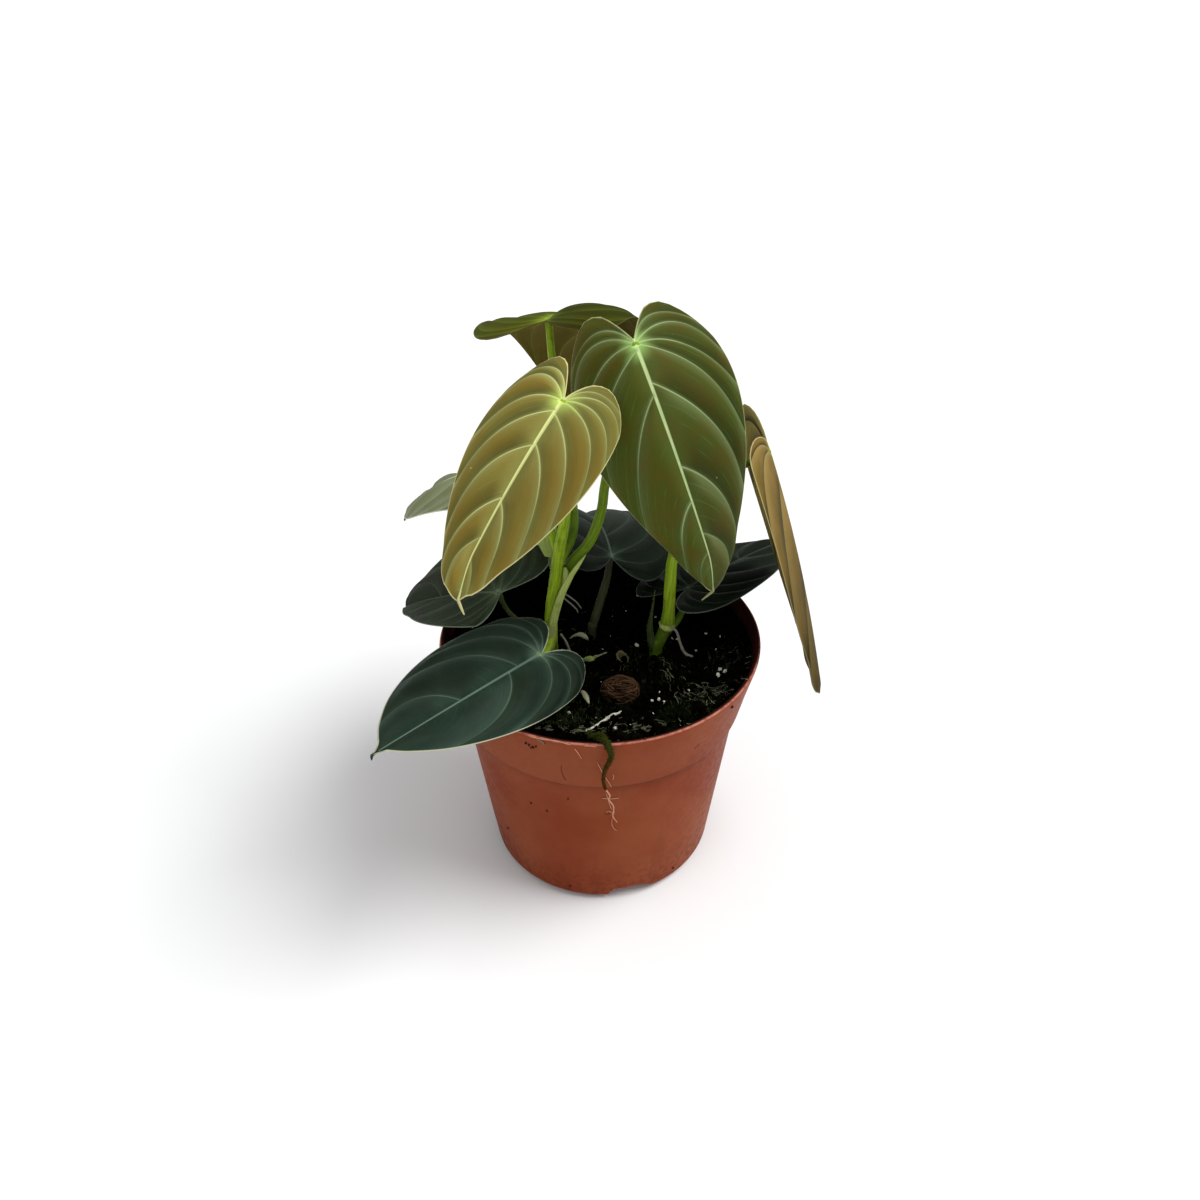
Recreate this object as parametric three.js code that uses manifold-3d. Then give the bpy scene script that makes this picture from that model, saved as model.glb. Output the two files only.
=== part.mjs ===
// Potted black gold philodendron: a young velvet-leaved aroid in a 12 cm plastic nursery pot.
// Millimetres, Z up. The origin is the middle of the pot's underside, +X is to the right and
// +Y away from somebody who looks at the plant's front.

import * as THREE from 'three';
import { mergeVertices } from 'three/addons/utils/BufferGeometryUtils.js';
import Module from 'manifold-3d';

// Driving dimensions

const gap = 0.3;            // left between neighbouring pieces
const aroundPot = 48;       // facets round the pot and the soil

const pot = {
  height: 98.6,
  rimRadius: 60,            // outside, at the lip
  bandHeight: 25.4,         // the straight flared band under the lip
  bandFootRadius: 54.4,
  wallTopRadius: 52.8,
  baseRadius: 44,           // where the wall's line meets the floor
  cornerRadius: 5,
  wall: 1.4,
  floor: 4,
  notches: 4,
  notchTurn: -73,           // degrees, the notch that shows at the front
  notchWidth: 22,
  notchRise: 2.5,
  drainHoles: 8,
  drainRing: 27,
  drainRadius: 3.6,
};

const soil = {
  level: 88.6,
  lump: 0.7,                // crumbs and hollows
  frontRise: 6.5,           // the mossy edge at the front of the pot
};

const blade = {
  thickness: 0.7,
  ridge: 1.1,               // the midrib stands this far proud underneath
  quilt: 0.9,               // swelling of the blade between two veins
  wave: 0.7,                // waviness of the margin
};

// Half the outline of a heart-shaped leaf, from the notch round the lobe to the drip tip:
// across in half widths, along in lengths from where the leaf stalk joins.
const halfOutline = [
  [0, -0.02], [0.1, -0.13], [0.26, -0.25], [0.5, -0.3], [0.76, -0.22], [0.94, -0.06], [1, 0.13],
  [0.95, 0.34], [0.8, 0.55], [0.57, 0.74], [0.29, 0.89], [0.09, 0.965], [0.03, 1.01], [0, 1.05],
];
const notchEnd = halfOutline[0][1];
const tipKnot = 12;         // the outline point level with the leaf's nominal length
const fanKnot = 5.04;       // up to here the side veins spring from the stalk, after it from the midrib
const veinKnots = [2, 3.7, 5.2, 6.6, 8.3, 10];

// Each leaf: where its stalk joins, the heading, pitch and roll of its midrib there in degrees,
// its length, how far the midrib droops (degrees) and sweeps sideways along that length, and for
// each half the width, the reach of the lobe, the fold beside the midrib and the curl to the edge.
const leaves = {
  leaf_gold_front: {
    hub: [-10.5, -21.5, 204.5], heading: -121, pitch: -23, roll: 5, length: 72.5, droop: 21, sweep: 0.02,
    right: { width: 24, lobe: 0.8, fold: 2, curl: 25 },
    left: { width: 21.5, lobe: 0.55, fold: 15, curl: 34 },
    colour: '#8a7a34',
  },
  leaf_olive_large: {
    hub: [12, -3.5, 215], heading: -71, pitch: -29, roll: -20, length: 95, droop: 87, sweep: 0,
    right: { width: 31.5, lobe: 0.7, fold: 32, curl: 14 },
    left: { width: 32, lobe: 0.6, fold: 32, curl: 2 },
    colour: '#5c6132',
  },
  leaf_top_back: {
    hub: [-16.5, 38, 207], heading: 73, pitch: 1, roll: -6, length: 88, droop: 93, sweep: -0.01,
    right: { width: 27.5, lobe: 0.65, fold: -26, curl: 51 },
    left: { width: 28.5, lobe: 0.65, fold: 11, curl: 15 },
    colour: '#4e5528',
  },
  leaf_gold_side: {
    hub: [61.5, 17.5, 165.5], heading: -47, pitch: -56, roll: 45, length: 91, droop: 19, sweep: 0,
    right: { width: 28.5, lobe: 0.25, fold: 11, curl: 19 },
    left: { width: 28.5, lobe: 0.6, fold: 10, curl: 23 },
    colour: '#8f7742',
  },
  leaf_left_small: {
    hub: [-38.5, 12.5, 162], heading: 146, pitch: -21, roll: 8, length: 59, droop: 34, sweep: 0,
    right: { width: 19, lobe: 0.8, fold: 5, curl: 24 },
    left: { width: 19, lobe: 0.8, fold: 6, curl: 14 },
    colour: '#5b6a54',
  },
  leaf_dark_left: {
    hub: [-37.5, 5.5, 114], heading: 145, pitch: -22, roll: 6, length: 60, droop: 14, sweep: 0.01,
    right: { width: 20.5, lobe: 1.45, fold: -44, curl: 12 },
    left: { width: 18.5, lobe: 0.2, fold: -2, curl: 23 },
    colour: '#2c3a33',
  },
  leaf_dark_front: {
    hub: [-21.5, -21.5, 106], heading: -126, pitch: 11, roll: 12, length: 79, droop: 4, sweep: 0.01,
    right: { width: 28, lobe: 0.65, fold: -19, curl: 58 },
    left: { width: 21, lobe: 0.55, fold: -8, curl: 57 },
    colour: '#2b3f3a',
  },
  leaf_dark_back: {
    hub: [4.5, 23.5, 118], heading: 95, pitch: -3, roll: -18, length: 76, droop: 35, sweep: -0.01,
    right: { width: 24, lobe: 0.95, fold: -29, curl: 15 },
    left: { width: 25, lobe: 0.75, fold: -10, curl: 16 },
    colour: '#2a3933',
  },
  leaf_dark_right: {
    hub: [33.5, 11, 111.5], heading: 47, pitch: -4, roll: 5, length: 66, droop: 9, sweep: -0.01,
    right: { width: 21.5, lobe: 0.85, fold: -11, curl: 14 },
    left: { width: 21, lobe: 0.8, fold: -1, curl: 10 },
    colour: '#25332f',
  },
};

// Each plant: its upright foot in the soil, then its stalks. A stalk is a line of points with a
// radius at each; one that carries a leaf is carried on to that leaf's underside.
const footDepth = 72;
const stemTipRadius = 1.3;
const plants = {
  stem_left: {
    foot: [-18.5, 3],
    footRadius: 2.4,
    colour: '#7c9a3c',
    stalks: [
      {
        leaf: 'leaf_gold_front',
        points: [[-18.5, 3, 92], [-18, 2.5, 107], [-15.8, 2, 121.5], [-13.6, 1.5, 135.5], [-11, 0, 149],
          [-9.3, -5, 171], [-9.4, -13, 190]],
        radii: [2.4, 2.3, 2.3, 2.1, 1.7, 1.5, 1.4],
      },
      {
        leaf: 'leaf_olive_large',
        points: [[-16.2, 2.2, 118], [-13, 3.4, 123.5], [-9.8, 4, 128.8], [-2.8, 4, 137.6], [1.9, 4, 150],
          [3.6, 3.8, 160], [6, 2.5, 175], [9, -0.5, 194]],
        radii: [1.6, 1.8, 1.9, 1.9, 1.8, 1.7, 1.5, 1.4],
      },
      {
        leaf: 'leaf_top_back',
        points: [[-14.8, 2.2, 128], [-11.5, 8, 137.5], [-11, 13, 148.5], [-12.5, 19, 169],
          [-14.8, 26, 189], [-15.7, 31.5, 196.8]],
        radii: [1.5, 1.7, 1.6, 1.5, 1.4, 1.4],
      },
      {
        leaf: 'leaf_left_small',
        points: [[-14.6, 1.8, 131], [-18, 5, 143], [-26, 9, 151.5], [-33, 11.3, 156]],
        radii: [1.3, 1.3, 1.2, 1.2],
      },
      {
        leaf: 'leaf_dark_left',
        points: [[-18.4, 2.8, 95], [-22.5, 4, 99], [-27.5, 5.2, 102.5], [-32.2, 6, 105.6], [-35.4, 5.8, 109]],
        radii: [1.5, 1.5, 1.4, 1.3, 1.2],
      },
      {
        leaf: 'leaf_dark_front',
        points: [[-18.4, 2.5, 95], [-19, -5, 97.5], [-20.4, -13, 99.2], [-21.6, -18.5, 100.8]],
        radii: [1.6, 1.6, 1.5, 1.4],
      },
      {
        points: [[-18, 1.6, 93], [-17.2, 0.6, 104], [-15.4, 0.2, 115], [-11.5, 0.8, 124.5], [-8, 1.5, 129.5],
          [-5, 2, 133]],
        radii: [2, 2, 1.8, 1.1, 0.7, 0.35],
      },
    ],
  },
  stem_right: {
    foot: [21.3, 1],
    footRadius: 2.4,
    colour: '#7b9a40',
    stalks: [
      {
        leaf: 'leaf_gold_side',
        points: [[21.3, 1, 91], [24.4, 1.8, 98.5], [25.3, 2, 101], [25.8, 2.4, 107.5], [26, 3, 118],
          [26.6, 3.8, 129.5], [29.5, 6.5, 141], [36, 10.5, 151.5], [45.5, 14.2, 158.2]],
        radii: [2.4, 2.4, 2.9, 2.3, 2.2, 2, 1.7, 1.5, 1.4],
      },
      {
        leaf: 'leaf_dark_right',
        points: [[23, 1.5, 95], [27, 3.4, 98.6], [30.8, 6.6, 102.6]],
        radii: [1.4, 1.4, 1.3],
      },
      {
        points: [[20, 0.4, 91.5], [18.9, 0, 97], [19.3, 0, 104], [19.8, 0, 110], [20.3, 0, 118.5]],
        radii: [1.4, 1.5, 1.1, 0.45, 0.3],
      },
    ],
  },
  stem_back: {
    foot: [-3.1, 12],
    footRadius: 1.7,
    colour: '#66755a',
    stalks: [
      {
        leaf: 'leaf_dark_back',
        points: [[-3.1, 12, 91.5], [-0.8, 14, 99.5], [1.6, 17, 106.5], [3.2, 20.5, 111]],
        radii: [1.7, 1.7, 1.6, 1.4],
      },
    ],
  },
};

const stub = { foot: [8.5, -4.5], radius: 2.3, rise: 3.4, depth: 7, colour: '#6f6a3a' };
const bark = { centre: [7.1, -23.5, 91.2], size: [6.8, 5.8, 4.4], colour: '#6b4030' };

// Roots: points over the soil are given as [x, y] and lie on it, the others as [x, y, z].
const roots = {
  root_left: {
    points: [[-14.6, 1.7, 97.2], [-13, 2.2, 93.4], [-11.2, 1.6], [-8.2, -2.6], [-3, -2.6], [2.4, 0.2]],
    radii: [0.7, 0.65, 0.6, 0.55, 0.5, 0.4],
    colour: '#b3ab84',
  },
  root_right: {
    points: [[28.7, 0.6, 99.6], [30, -0.6, 95.6], [31, -1.2, 92.4], [32.6, -1.4], [35, -1.7]],
    radii: [0.7, 0.65, 0.6, 0.6, 0.55],
    colour: '#a88f7c',
  },
  root_white: {
    points: [[-5.1, -43.2], [-2, -40], [0.9, -37.5], [4, -35], [7.3, -32.8]],
    radii: [0.4, 0.6, 0.65, 0.55, 0.35],
    colour: '#d9d4c2',
  },
};

// The mossy root that climbs out of the soil, over the lip and down the outside of the pot
const rimRoot = {
  points: [[-3.4, -46.5], [-1.8, -51], [0.2, -56, 99], [1.8, -59.2, 101.4], [3.4, -61.9, 99.4],
    [4.4, -62.4, 94], [2.9, -61.6, 87.5], [1.8, -60.6, 82], [1.7, -59.6, 77]],
  radii: [1.8, 1.7, 1.6, 1.7, 1.7, 1.5, 1.3, 1.1, 0.8],
  colour: '#3d4726',
};
const rimRootlets = {
  points: [[1.8, -59.5, 76.6], [2.9, -59, 73.6], [2.6, -58, 70.6], [4.2, -57.4, 66.4], [4, -56.8, 61],
    [5.5, -56.4, 57.4]],
  radii: [0.45, 0.45, 0.4, 0.4, 0.4, 0.35],
  colour: '#a8705a',
};

// Plain helpers

const { PI, sin, cos, sqrt, max, min, hypot } = Math;
const radians = THREE.MathUtils.degToRad;
const lerp = THREE.MathUtils.lerp;
const clamp = THREE.MathUtils.clamp;

const wasm = await Module();
wasm.setup();

const plant = new THREE.Group();

function addPiece(name, geometry, colour, roughness) {
  const material = new THREE.MeshStandardMaterial({ color: colour, roughness, metalness: 0 });
  const mesh = new THREE.Mesh(geometry, material);
  mesh.name = name;
  plant.add(mesh);
}

// A closed surface from a list of triangles, each three points
function fromTriangles(triangles) {
  const geometry = new THREE.BufferGeometry();
  geometry.setFromPoints(triangles.flat());
  const merged = mergeVertices(geometry, 1e-3);
  const index = merged.index.array;
  const kept = [];
  for (let i = 0; i < index.length; i += 3) {
    const [a, b, c] = [index[i], index[i + 1], index[i + 2]];
    if (a !== b && b !== c && c !== a) kept.push(a, b, c);
  }
  merged.setIndex(kept);
  return merged;
}

// Rings of points skinned one to the next and closed at both ends with a fan
function skin(rings, firstCentre, lastCentre) {
  const triangles = [];
  const count = rings[0].length;
  const last = rings[rings.length - 1];
  for (let k = 0; k < count; k++) {
    const n = (k + 1) % count;
    triangles.push([firstCentre, rings[0][n], rings[0][k]]);
    triangles.push([lastCentre, last[k], last[n]]);
    for (let i = 0; i + 1 < rings.length; i++) {
      const [low, high] = [rings[i], rings[i + 1]];
      triangles.push([low[k], low[n], high[n]], [low[k], high[n], high[k]]);
    }
  }
  return fromTriangles(triangles);
}

function toSolid(geometry) {
  const bare = geometry.clone();
  bare.deleteAttribute('normal');
  bare.deleteAttribute('uv');
  const merged = mergeVertices(bare, 1e-4);
  return new wasm.Manifold(new wasm.Mesh({
    numProp: 3,
    vertProperties: new Float32Array(merged.attributes.position.array),
    triVerts: new Uint32Array(merged.index.array),
  }));
}

function toGeometry(solid) {
  const mesh = solid.getMesh();
  const geometry = new THREE.BufferGeometry();
  geometry.setAttribute('position', new THREE.BufferAttribute(mesh.vertProperties, 3));
  geometry.setIndex(new THREE.BufferAttribute(mesh.triVerts, 1));
  return geometry;
}

function vector(point) {
  return new THREE.Vector3(...point);
}

// A round stalk or root along a smooth line, with its own radius at each given point
function tube(points, radii, sides = 8, step = 5) {
  const curve = new THREE.CatmullRomCurve3(points.map(vector));
  const count = max(4, Math.ceil(curve.getLength() / step));
  const frames = curve.computeFrenetFrames(count);
  const rings = [];
  for (let i = 0; i <= count; i++) {
    const along = curve.getUtoTmapping(i / count) * (radii.length - 1);
    const k = min(Math.floor(along), radii.length - 2);
    const radius = lerp(radii[k], radii[k + 1], along - k);
    const middle = curve.getPointAt(i / count);
    const ring = [];
    for (let s = 0; s < sides; s++) {
      const turn = (2 * PI * s) / sides;
      ring.push(middle.clone()
        .addScaledVector(frames.normals[i], radius * cos(turn))
        .addScaledVector(frames.binormals[i], radius * sin(turn)));
    }
    rings.push(ring);
  }
  return skin(rings, curve.getPointAt(0), curve.getPointAt(1));
}

function upright([x, y], radius, bottom, top, sides = 12) {
  const geometry = new THREE.CylinderGeometry(radius, radius, top - bottom, sides);
  geometry.rotateX(PI / 2);
  geometry.translate(x, y, (top + bottom) / 2);
  return geometry;
}

function egg([x, y, z], [a, b, c], grow = 0) {
  const geometry = new THREE.SphereGeometry(1, 14, 9);
  geometry.scale(a + grow, c + grow, b + grow);
  geometry.rotateX(PI / 2);
  geometry.translate(x, y, z);
  return geometry;
}

// Pot: a turned shell with a flared band, then the notches in its foot and the drain holes

const bandFoot = pot.height - pot.bandHeight;

function innerRadius(z) {
  if (z > bandFoot) {
    const share = (z - bandFoot) / pot.bandHeight;
    return lerp(pot.bandFootRadius, pot.rimRadius, share) - pot.wall - 0.2;
  }
  return lerp(pot.baseRadius, pot.wallTopRadius, z / bandFoot) - pot.wall;
}

function potShell() {
  const corner = pot.cornerRadius;
  const wallAt = (z) => lerp(pot.baseRadius, pot.wallTopRadius, z / bandFoot);
  const profile = [new THREE.Vector2(0, 0)];
  for (let k = 0; k <= 4; k++) {
    const turn = (k / 4) * (PI / 2);
    const z = corner * (1 - cos(turn));
    profile.push(new THREE.Vector2(wallAt(corner) - corner * (1 - sin(turn)), z));
  }
  profile.push(new THREE.Vector2(wallAt(bandFoot - 0.8), bandFoot - 0.8));
  profile.push(new THREE.Vector2(pot.bandFootRadius - 0.3, bandFoot - 0.3));
  profile.push(new THREE.Vector2(pot.bandFootRadius, bandFoot + 0.4));
  profile.push(new THREE.Vector2(pot.rimRadius - 0.9, pot.height - 3));
  profile.push(new THREE.Vector2(pot.rimRadius, pot.height - 2.2));
  profile.push(new THREE.Vector2(pot.rimRadius, pot.height - 0.5));
  profile.push(new THREE.Vector2(pot.rimRadius - 0.5, pot.height));
  profile.push(new THREE.Vector2(innerRadius(pot.height), pot.height));
  profile.push(new THREE.Vector2(innerRadius(bandFoot + 0.5), bandFoot + 0.5));
  profile.push(new THREE.Vector2(innerRadius(bandFoot - 1), bandFoot - 1));
  profile.push(new THREE.Vector2(innerRadius(pot.floor + 3), pot.floor + 3));
  profile.push(new THREE.Vector2(innerRadius(pot.floor + 3) - 3, pot.floor));
  profile.push(new THREE.Vector2(0, pot.floor));
  const geometry = new THREE.LatheGeometry(profile, aroundPot);
  geometry.rotateX(PI / 2);
  return geometry;
}

function potBody() {
  let solid = toSolid(potShell());
  const notchArc = (pot.notchWidth * pot.notchWidth) / (8 * pot.notchRise) + pot.notchRise / 2;
  for (let k = 0; k < pot.notches; k++) {
    const notch = new THREE.CylinderGeometry(notchArc, notchArc, 14, 64);
    notch.rotateZ(PI / 2);
    notch.translate(pot.baseRadius, 0, pot.notchRise - notchArc);
    notch.rotateZ(radians(pot.notchTurn + (360 / pot.notches) * k));
    solid = solid.subtract(toSolid(notch));
  }
  for (let k = 0; k < pot.drainHoles; k++) {
    const turn = (2 * PI * k) / pot.drainHoles;
    const at = [pot.drainRing * cos(turn), pot.drainRing * sin(turn)];
    solid = solid.subtract(toSolid(upright(at, pot.drainRadius, -1, pot.floor + 1)));
  }
  return toGeometry(solid);
}

// Soil: fills the pot, crumbly on top, higher and mossy at the front edge

function soilHeight(x, y) {
  const crumbs = sin(0.24 * x + 1.3) * cos(0.21 * y - 0.6) + 0.5 * sin(0.4 * x - 0.31 * y + 2.1);
  const out = hypot(x, y) / 56;
  const front = clamp((-y / max(hypot(x, y), 1) - 0.55) / 0.45, 0, 1);
  const edge = clamp((out - 0.72) / 0.28, 0, 1);
  return soil.level + soil.lump * crumbs + soil.frontRise * front * edge * edge + 1.2 * edge;
}

function soilBody() {
  const rings = [];
  const heights = [pot.floor + gap, pot.floor + 3 + gap, bandFoot - 1, bandFoot + 0.5];
  const ringAt = (place) => Array.from({ length: aroundPot }, (_, k) => {
    const turn = (2 * PI * k) / aroundPot;
    return place(sin(turn), -cos(turn));
  });
  heights.forEach((z, i) => {
    const radius = i === 0 ? innerRadius(pot.floor + 3) - 3 - gap : innerRadius(z) - gap - 0.1;
    rings.push(ringAt((cx, cy) => new THREE.Vector3(radius * cx, radius * cy, z)));
  });
  const topRadius = innerRadius(soil.level + 1) - gap - 0.1;
  rings.push(ringAt((cx, cy) => {
    const z = soilHeight(topRadius * cx, topRadius * cy) - 0.8;
    const radius = innerRadius(z) - gap - 0.1;
    return new THREE.Vector3(radius * cx, radius * cy, z);
  }));
  for (const share of [0.98, 0.92, 0.84, 0.73, 0.6, 0.46, 0.31, 0.15]) {
    const radius = topRadius * share;
    rings.push(ringAt((cx, cy) => {
      return new THREE.Vector3(radius * cx, radius * cy, soilHeight(radius * cx, radius * cy));
    }));
  }
  return skin(rings, new THREE.Vector3(0, 0, pot.floor + gap), new THREE.Vector3(0, 0, soilHeight(0, 0)));
}

function soilWithHoles() {
  let solid = toSolid(soilBody());
  for (const { foot, footRadius } of Object.values(plants)) {
    solid = solid.subtract(toSolid(upright(foot, footRadius + gap, footDepth - gap, 120)));
  }
  solid = solid.subtract(toSolid(upright(stub.foot, stub.radius + gap, soil.level - stub.depth - gap, 120)));
  solid = solid.subtract(toSolid(egg(bark.centre, bark.size, gap)));
  return toGeometry(solid);
}

// Leaf blades

const marginCurve = new THREE.CatmullRomCurve3(
  halfOutline.map(([across, along]) => new THREE.Vector3(across, along, 0)),
  false, 'catmullrom', 0.5,
);

// A point of the flat half leaf, in mm: knot runs round the margin, out from the midrib to the edge.
// The lines of constant knot are the side veins, which bow towards the leaf's base.
function flatPoint(leaf, half, knot, out) {
  const edge = marginCurve.getPoint(knot / (halfOutline.length - 1));
  if (edge.y < notchEnd) edge.y = notchEnd + (edge.y - notchEnd) * half.lobe;
  const start = knot <= tipKnot
    ? max(0, (knot - fanKnot) / (tipKnot - fanKnot))
    : 1 + 0.05 * (knot - tipKnot);
  const share = knot / (halfOutline.length - 1);
  const bow = 0.1 * sin(PI * clamp((share - 0.15) / 0.85, 0, 1));
  const middle = { x: edge.x / 2, y: (start + edge.y) / 2 - bow };
  const stay = 1 - out;
  return {
    across: (2 * stay * out * middle.x + out * out * edge.x) * half.width,
    along: (stay * stay * start + 2 * stay * out * middle.y + out * out * edge.y) * leaf.length,
  };
}

function leafFrame(leaf) {
  const [heading, pitch, roll] = [leaf.heading, leaf.pitch, leaf.roll].map(radians);
  const level = new THREE.Vector3(cos(heading), sin(heading), 0);
  const side = new THREE.Vector3(sin(heading), -cos(heading), 0);
  const up = new THREE.Vector3(0, 0, 1);
  const forward = level.clone().multiplyScalar(cos(pitch)).addScaledVector(up, sin(pitch));
  const lifted = level.clone().multiplyScalar(-sin(pitch)).addScaledVector(up, cos(pitch));
  return {
    forward,
    right: side.clone().multiplyScalar(cos(roll)).addScaledVector(lifted, sin(roll)),
    normal: side.clone().multiplyScalar(-sin(roll)).addScaledVector(lifted, cos(roll)),
  };
}

// The place of a point of the blade, height mm above its middle surface. The midrib bends down in
// an arc, and each half turns down from it by its fold at once and by its curl on the way out.
function bladePoint(leaf, half, hand, across, along, height) {
  const frame = leafFrame(leaf);
  const t = along / leaf.length;
  const droop = radians(leaf.droop);
  const bend = t > 0 ? droop * t : 0;
  const run = t > 0 ? (leaf.length * sin(bend)) / droop : along;
  const fall = t > 0 ? (leaf.length * (1 - cos(bend))) / droop : 0;
  const sweep = t > 0 ? leaf.sweep * leaf.length * t * t : 0;
  const fold = radians(half.fold);
  const turnPerMm = radians(half.curl) / half.width;
  const tilt = fold + turnPerMm * across;
  const reach = (sin(tilt) - sin(fold)) / turnPerMm;
  const sink = (cos(fold) - cos(tilt)) / turnPerMm;
  const normalTilt = fold * clamp(across / 1.5, 0, 1) + turnPerMm * across;
  const sideways = hand * (reach + height * sin(normalTilt)) + sweep;
  const lift = -sink + height * cos(normalTilt);
  return vector(leaf.hub)
    .addScaledVector(frame.right, sideways)
    .addScaledVector(frame.forward, run + lift * sin(bend))
    .addScaledVector(frame.normal, -fall + lift * cos(bend));
}

// How far the blade swells between the veins and waves at its margin
function relief(knot, out) {
  const stops = [0, ...veinKnots, halfOutline.length - 1];
  const k = stops.findIndex((stop, i) => knot >= stop && knot <= stops[i + 1]);
  const share = (knot - stops[k]) / (stops[k + 1] - stops[k]);
  const fade = k === stops.length - 2 ? 0.4 : 1;
  const swell = blade.quilt * fade * sin(PI * share) * sin(PI * min(out * 1.15, 1)) ** 0.7;
  const wave = blade.wave * out ** 3 * sin((2 * PI * knot * 2.5) / (halfOutline.length - 1));
  return swell + wave;
}

function bladeBody(leaf) {
  const stops = [0, ...veinKnots];
  const knots = stops.flatMap((stop, i) => (i + 1 < stops.length ? [stop, (stop + stops[i + 1]) / 2] : [stop]));
  knots.push(10.9, 11.6, 12.3, halfOutline.length - 1);
  const outs = [0, 0.06, 0.27, 0.52, 0.77, 1];
  const triangles = [];
  for (const [half, hand] of [[leaf.right, 1], [leaf.left, -1]]) {
    const faces = [1, -1].map((face) => knots.map((knot) => outs.map((out) => {
      const { across, along } = flatPoint(leaf, half, knot, out);
      const ridge = out === 0 && face < 0 ? blade.ridge * (1 - 0.6 * clamp(along / leaf.length, 0, 1)) : 0;
      const height = relief(knot, out) + face * (blade.thickness / 2 + ridge);
      return bladePoint(leaf, half, hand, across, along, height);
    })));
    const push = (a, b, c) => triangles.push(hand > 0 ? [a, b, c] : [a, c, b]);
    const [upper, lower] = faces;
    for (let i = 0; i + 1 < knots.length; i++) {
      for (let j = 0; j + 1 < outs.length; j++) {
        push(upper[i][j], upper[i][j + 1], upper[i + 1][j + 1]);
        push(upper[i][j], upper[i + 1][j + 1], upper[i + 1][j]);
        push(lower[i][j], lower[i + 1][j + 1], lower[i][j + 1]);
        push(lower[i][j], lower[i + 1][j], lower[i + 1][j + 1]);
      }
      const j = outs.length - 1;
      push(upper[i][j], lower[i][j], lower[i + 1][j]);
      push(upper[i][j], lower[i + 1][j], upper[i + 1][j]);
    }
  }
  return fromTriangles(triangles);
}

// Stems: every stalk of a plant joined to its foot

// The end of a leaf stalk, a gap under the ridge where the leaf's veins meet
function stalkEnd(leaf, from) {
  const { normal } = leafFrame(leaf);
  const hub = vector(leaf.hub);
  const arrival = hub.clone().sub(vector(from)).normalize();
  const slope = sqrt(max(0, 1 - arrival.dot(normal) ** 2));
  const fold = radians(max(leaf.right.fold, leaf.left.fold, 0));
  const deepest = max(blade.ridge, stemTipRadius * Math.tan(fold));
  const drop = blade.thickness / 2 + deepest + gap + stemTipRadius * slope;
  return hub.addScaledVector(normal, -drop).toArray();
}

function stemBody({ foot, footRadius, stalks }) {
  const top = stalks[0].points[0][2] + 1;
  let solid = toSolid(upright(foot, footRadius, footDepth, top));
  for (const { leaf, points, radii } of stalks) {
    const line = leaf ? [...points, stalkEnd(leaves[leaf], points[points.length - 1])] : points;
    const widths = leaf ? [...radii, stemTipRadius] : radii;
    solid = solid.add(toSolid(tube(line, widths)));
  }
  return toGeometry(solid);
}

// Roots

function onSoil(point, radius) {
  if (point.length === 3) return point;
  const around = [[0, 0], [1, 0], [-1, 0], [0, 1], [0, -1]].map(([dx, dy]) => {
    return soilHeight(point[0] + 2 * dx, point[1] + 2 * dy);
  });
  return [...point, max(...around) + radius + gap];
}

function rootBody({ points, radii }, step) {
  return tube(points.map((point, i) => onSoil(point, radii[i])), radii, 6, step);
}

// The pieces

addPiece('pot', potBody(), '#a65d43', 0.55);
addPiece('soil', soilWithHoles(), '#1e1814', 0.95);
for (const [name, part] of Object.entries(plants)) {
  addPiece(name, stemBody(part), part.colour, 0.5);
}
for (const [name, leaf] of Object.entries(leaves)) {
  addPiece(name, bladeBody(leaf), leaf.colour, 0.6);
}
addPiece('petiole_stub', upright(stub.foot, stub.radius, soil.level - stub.depth, soil.level + stub.rise),
  stub.colour, 0.8);
addPiece('bark_chip', egg(bark.centre, bark.size), bark.colour, 0.9);
for (const [name, root] of Object.entries(roots)) {
  addPiece(name, rootBody(root, 2.5), root.colour, 0.7);
}
addPiece('rim_root', rootBody(rimRoot, 4), rimRoot.colour, 0.9);
addPiece('rim_rootlets', rootBody(rimRootlets, 3.5), rimRootlets.colour, 0.8);

export default plant;
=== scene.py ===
# A potted black gold philodendron: nine velvet leaves on three plants in a clay-coloured nursery pot.
# Shapes are worked out in millimetres in the part's own frame and become metres in makeObject.

import math

import bmesh
import bpy
import numpy as np
from mathutils import Matrix, Vector


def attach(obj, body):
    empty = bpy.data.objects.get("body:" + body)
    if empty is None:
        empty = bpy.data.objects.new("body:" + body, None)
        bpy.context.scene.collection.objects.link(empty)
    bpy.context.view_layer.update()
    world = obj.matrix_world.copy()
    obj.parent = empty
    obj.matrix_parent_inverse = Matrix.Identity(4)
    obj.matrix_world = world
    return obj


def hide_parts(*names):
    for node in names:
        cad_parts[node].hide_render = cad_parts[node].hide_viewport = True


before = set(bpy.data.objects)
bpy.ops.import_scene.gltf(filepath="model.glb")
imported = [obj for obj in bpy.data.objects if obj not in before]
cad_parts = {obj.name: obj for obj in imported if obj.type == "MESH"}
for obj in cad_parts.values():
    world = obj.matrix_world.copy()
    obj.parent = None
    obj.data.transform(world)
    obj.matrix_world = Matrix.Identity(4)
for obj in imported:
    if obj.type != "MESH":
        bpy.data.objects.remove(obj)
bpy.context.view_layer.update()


print("frame loaded:", len(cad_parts), "nodes")

# Camera: the photograph's standing view, down by 36 degrees

cameraSettings = {
    "target": (0.2, 0.0, 114.35),
    "distance": 400,
    "down": 36.0,            # degrees below level
    "roll": 0.01,            # radians
    "focal": 1089,           # pixels, in a frame of 1200
    "frame": 1200,
    "sensor": 36,
}


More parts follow.
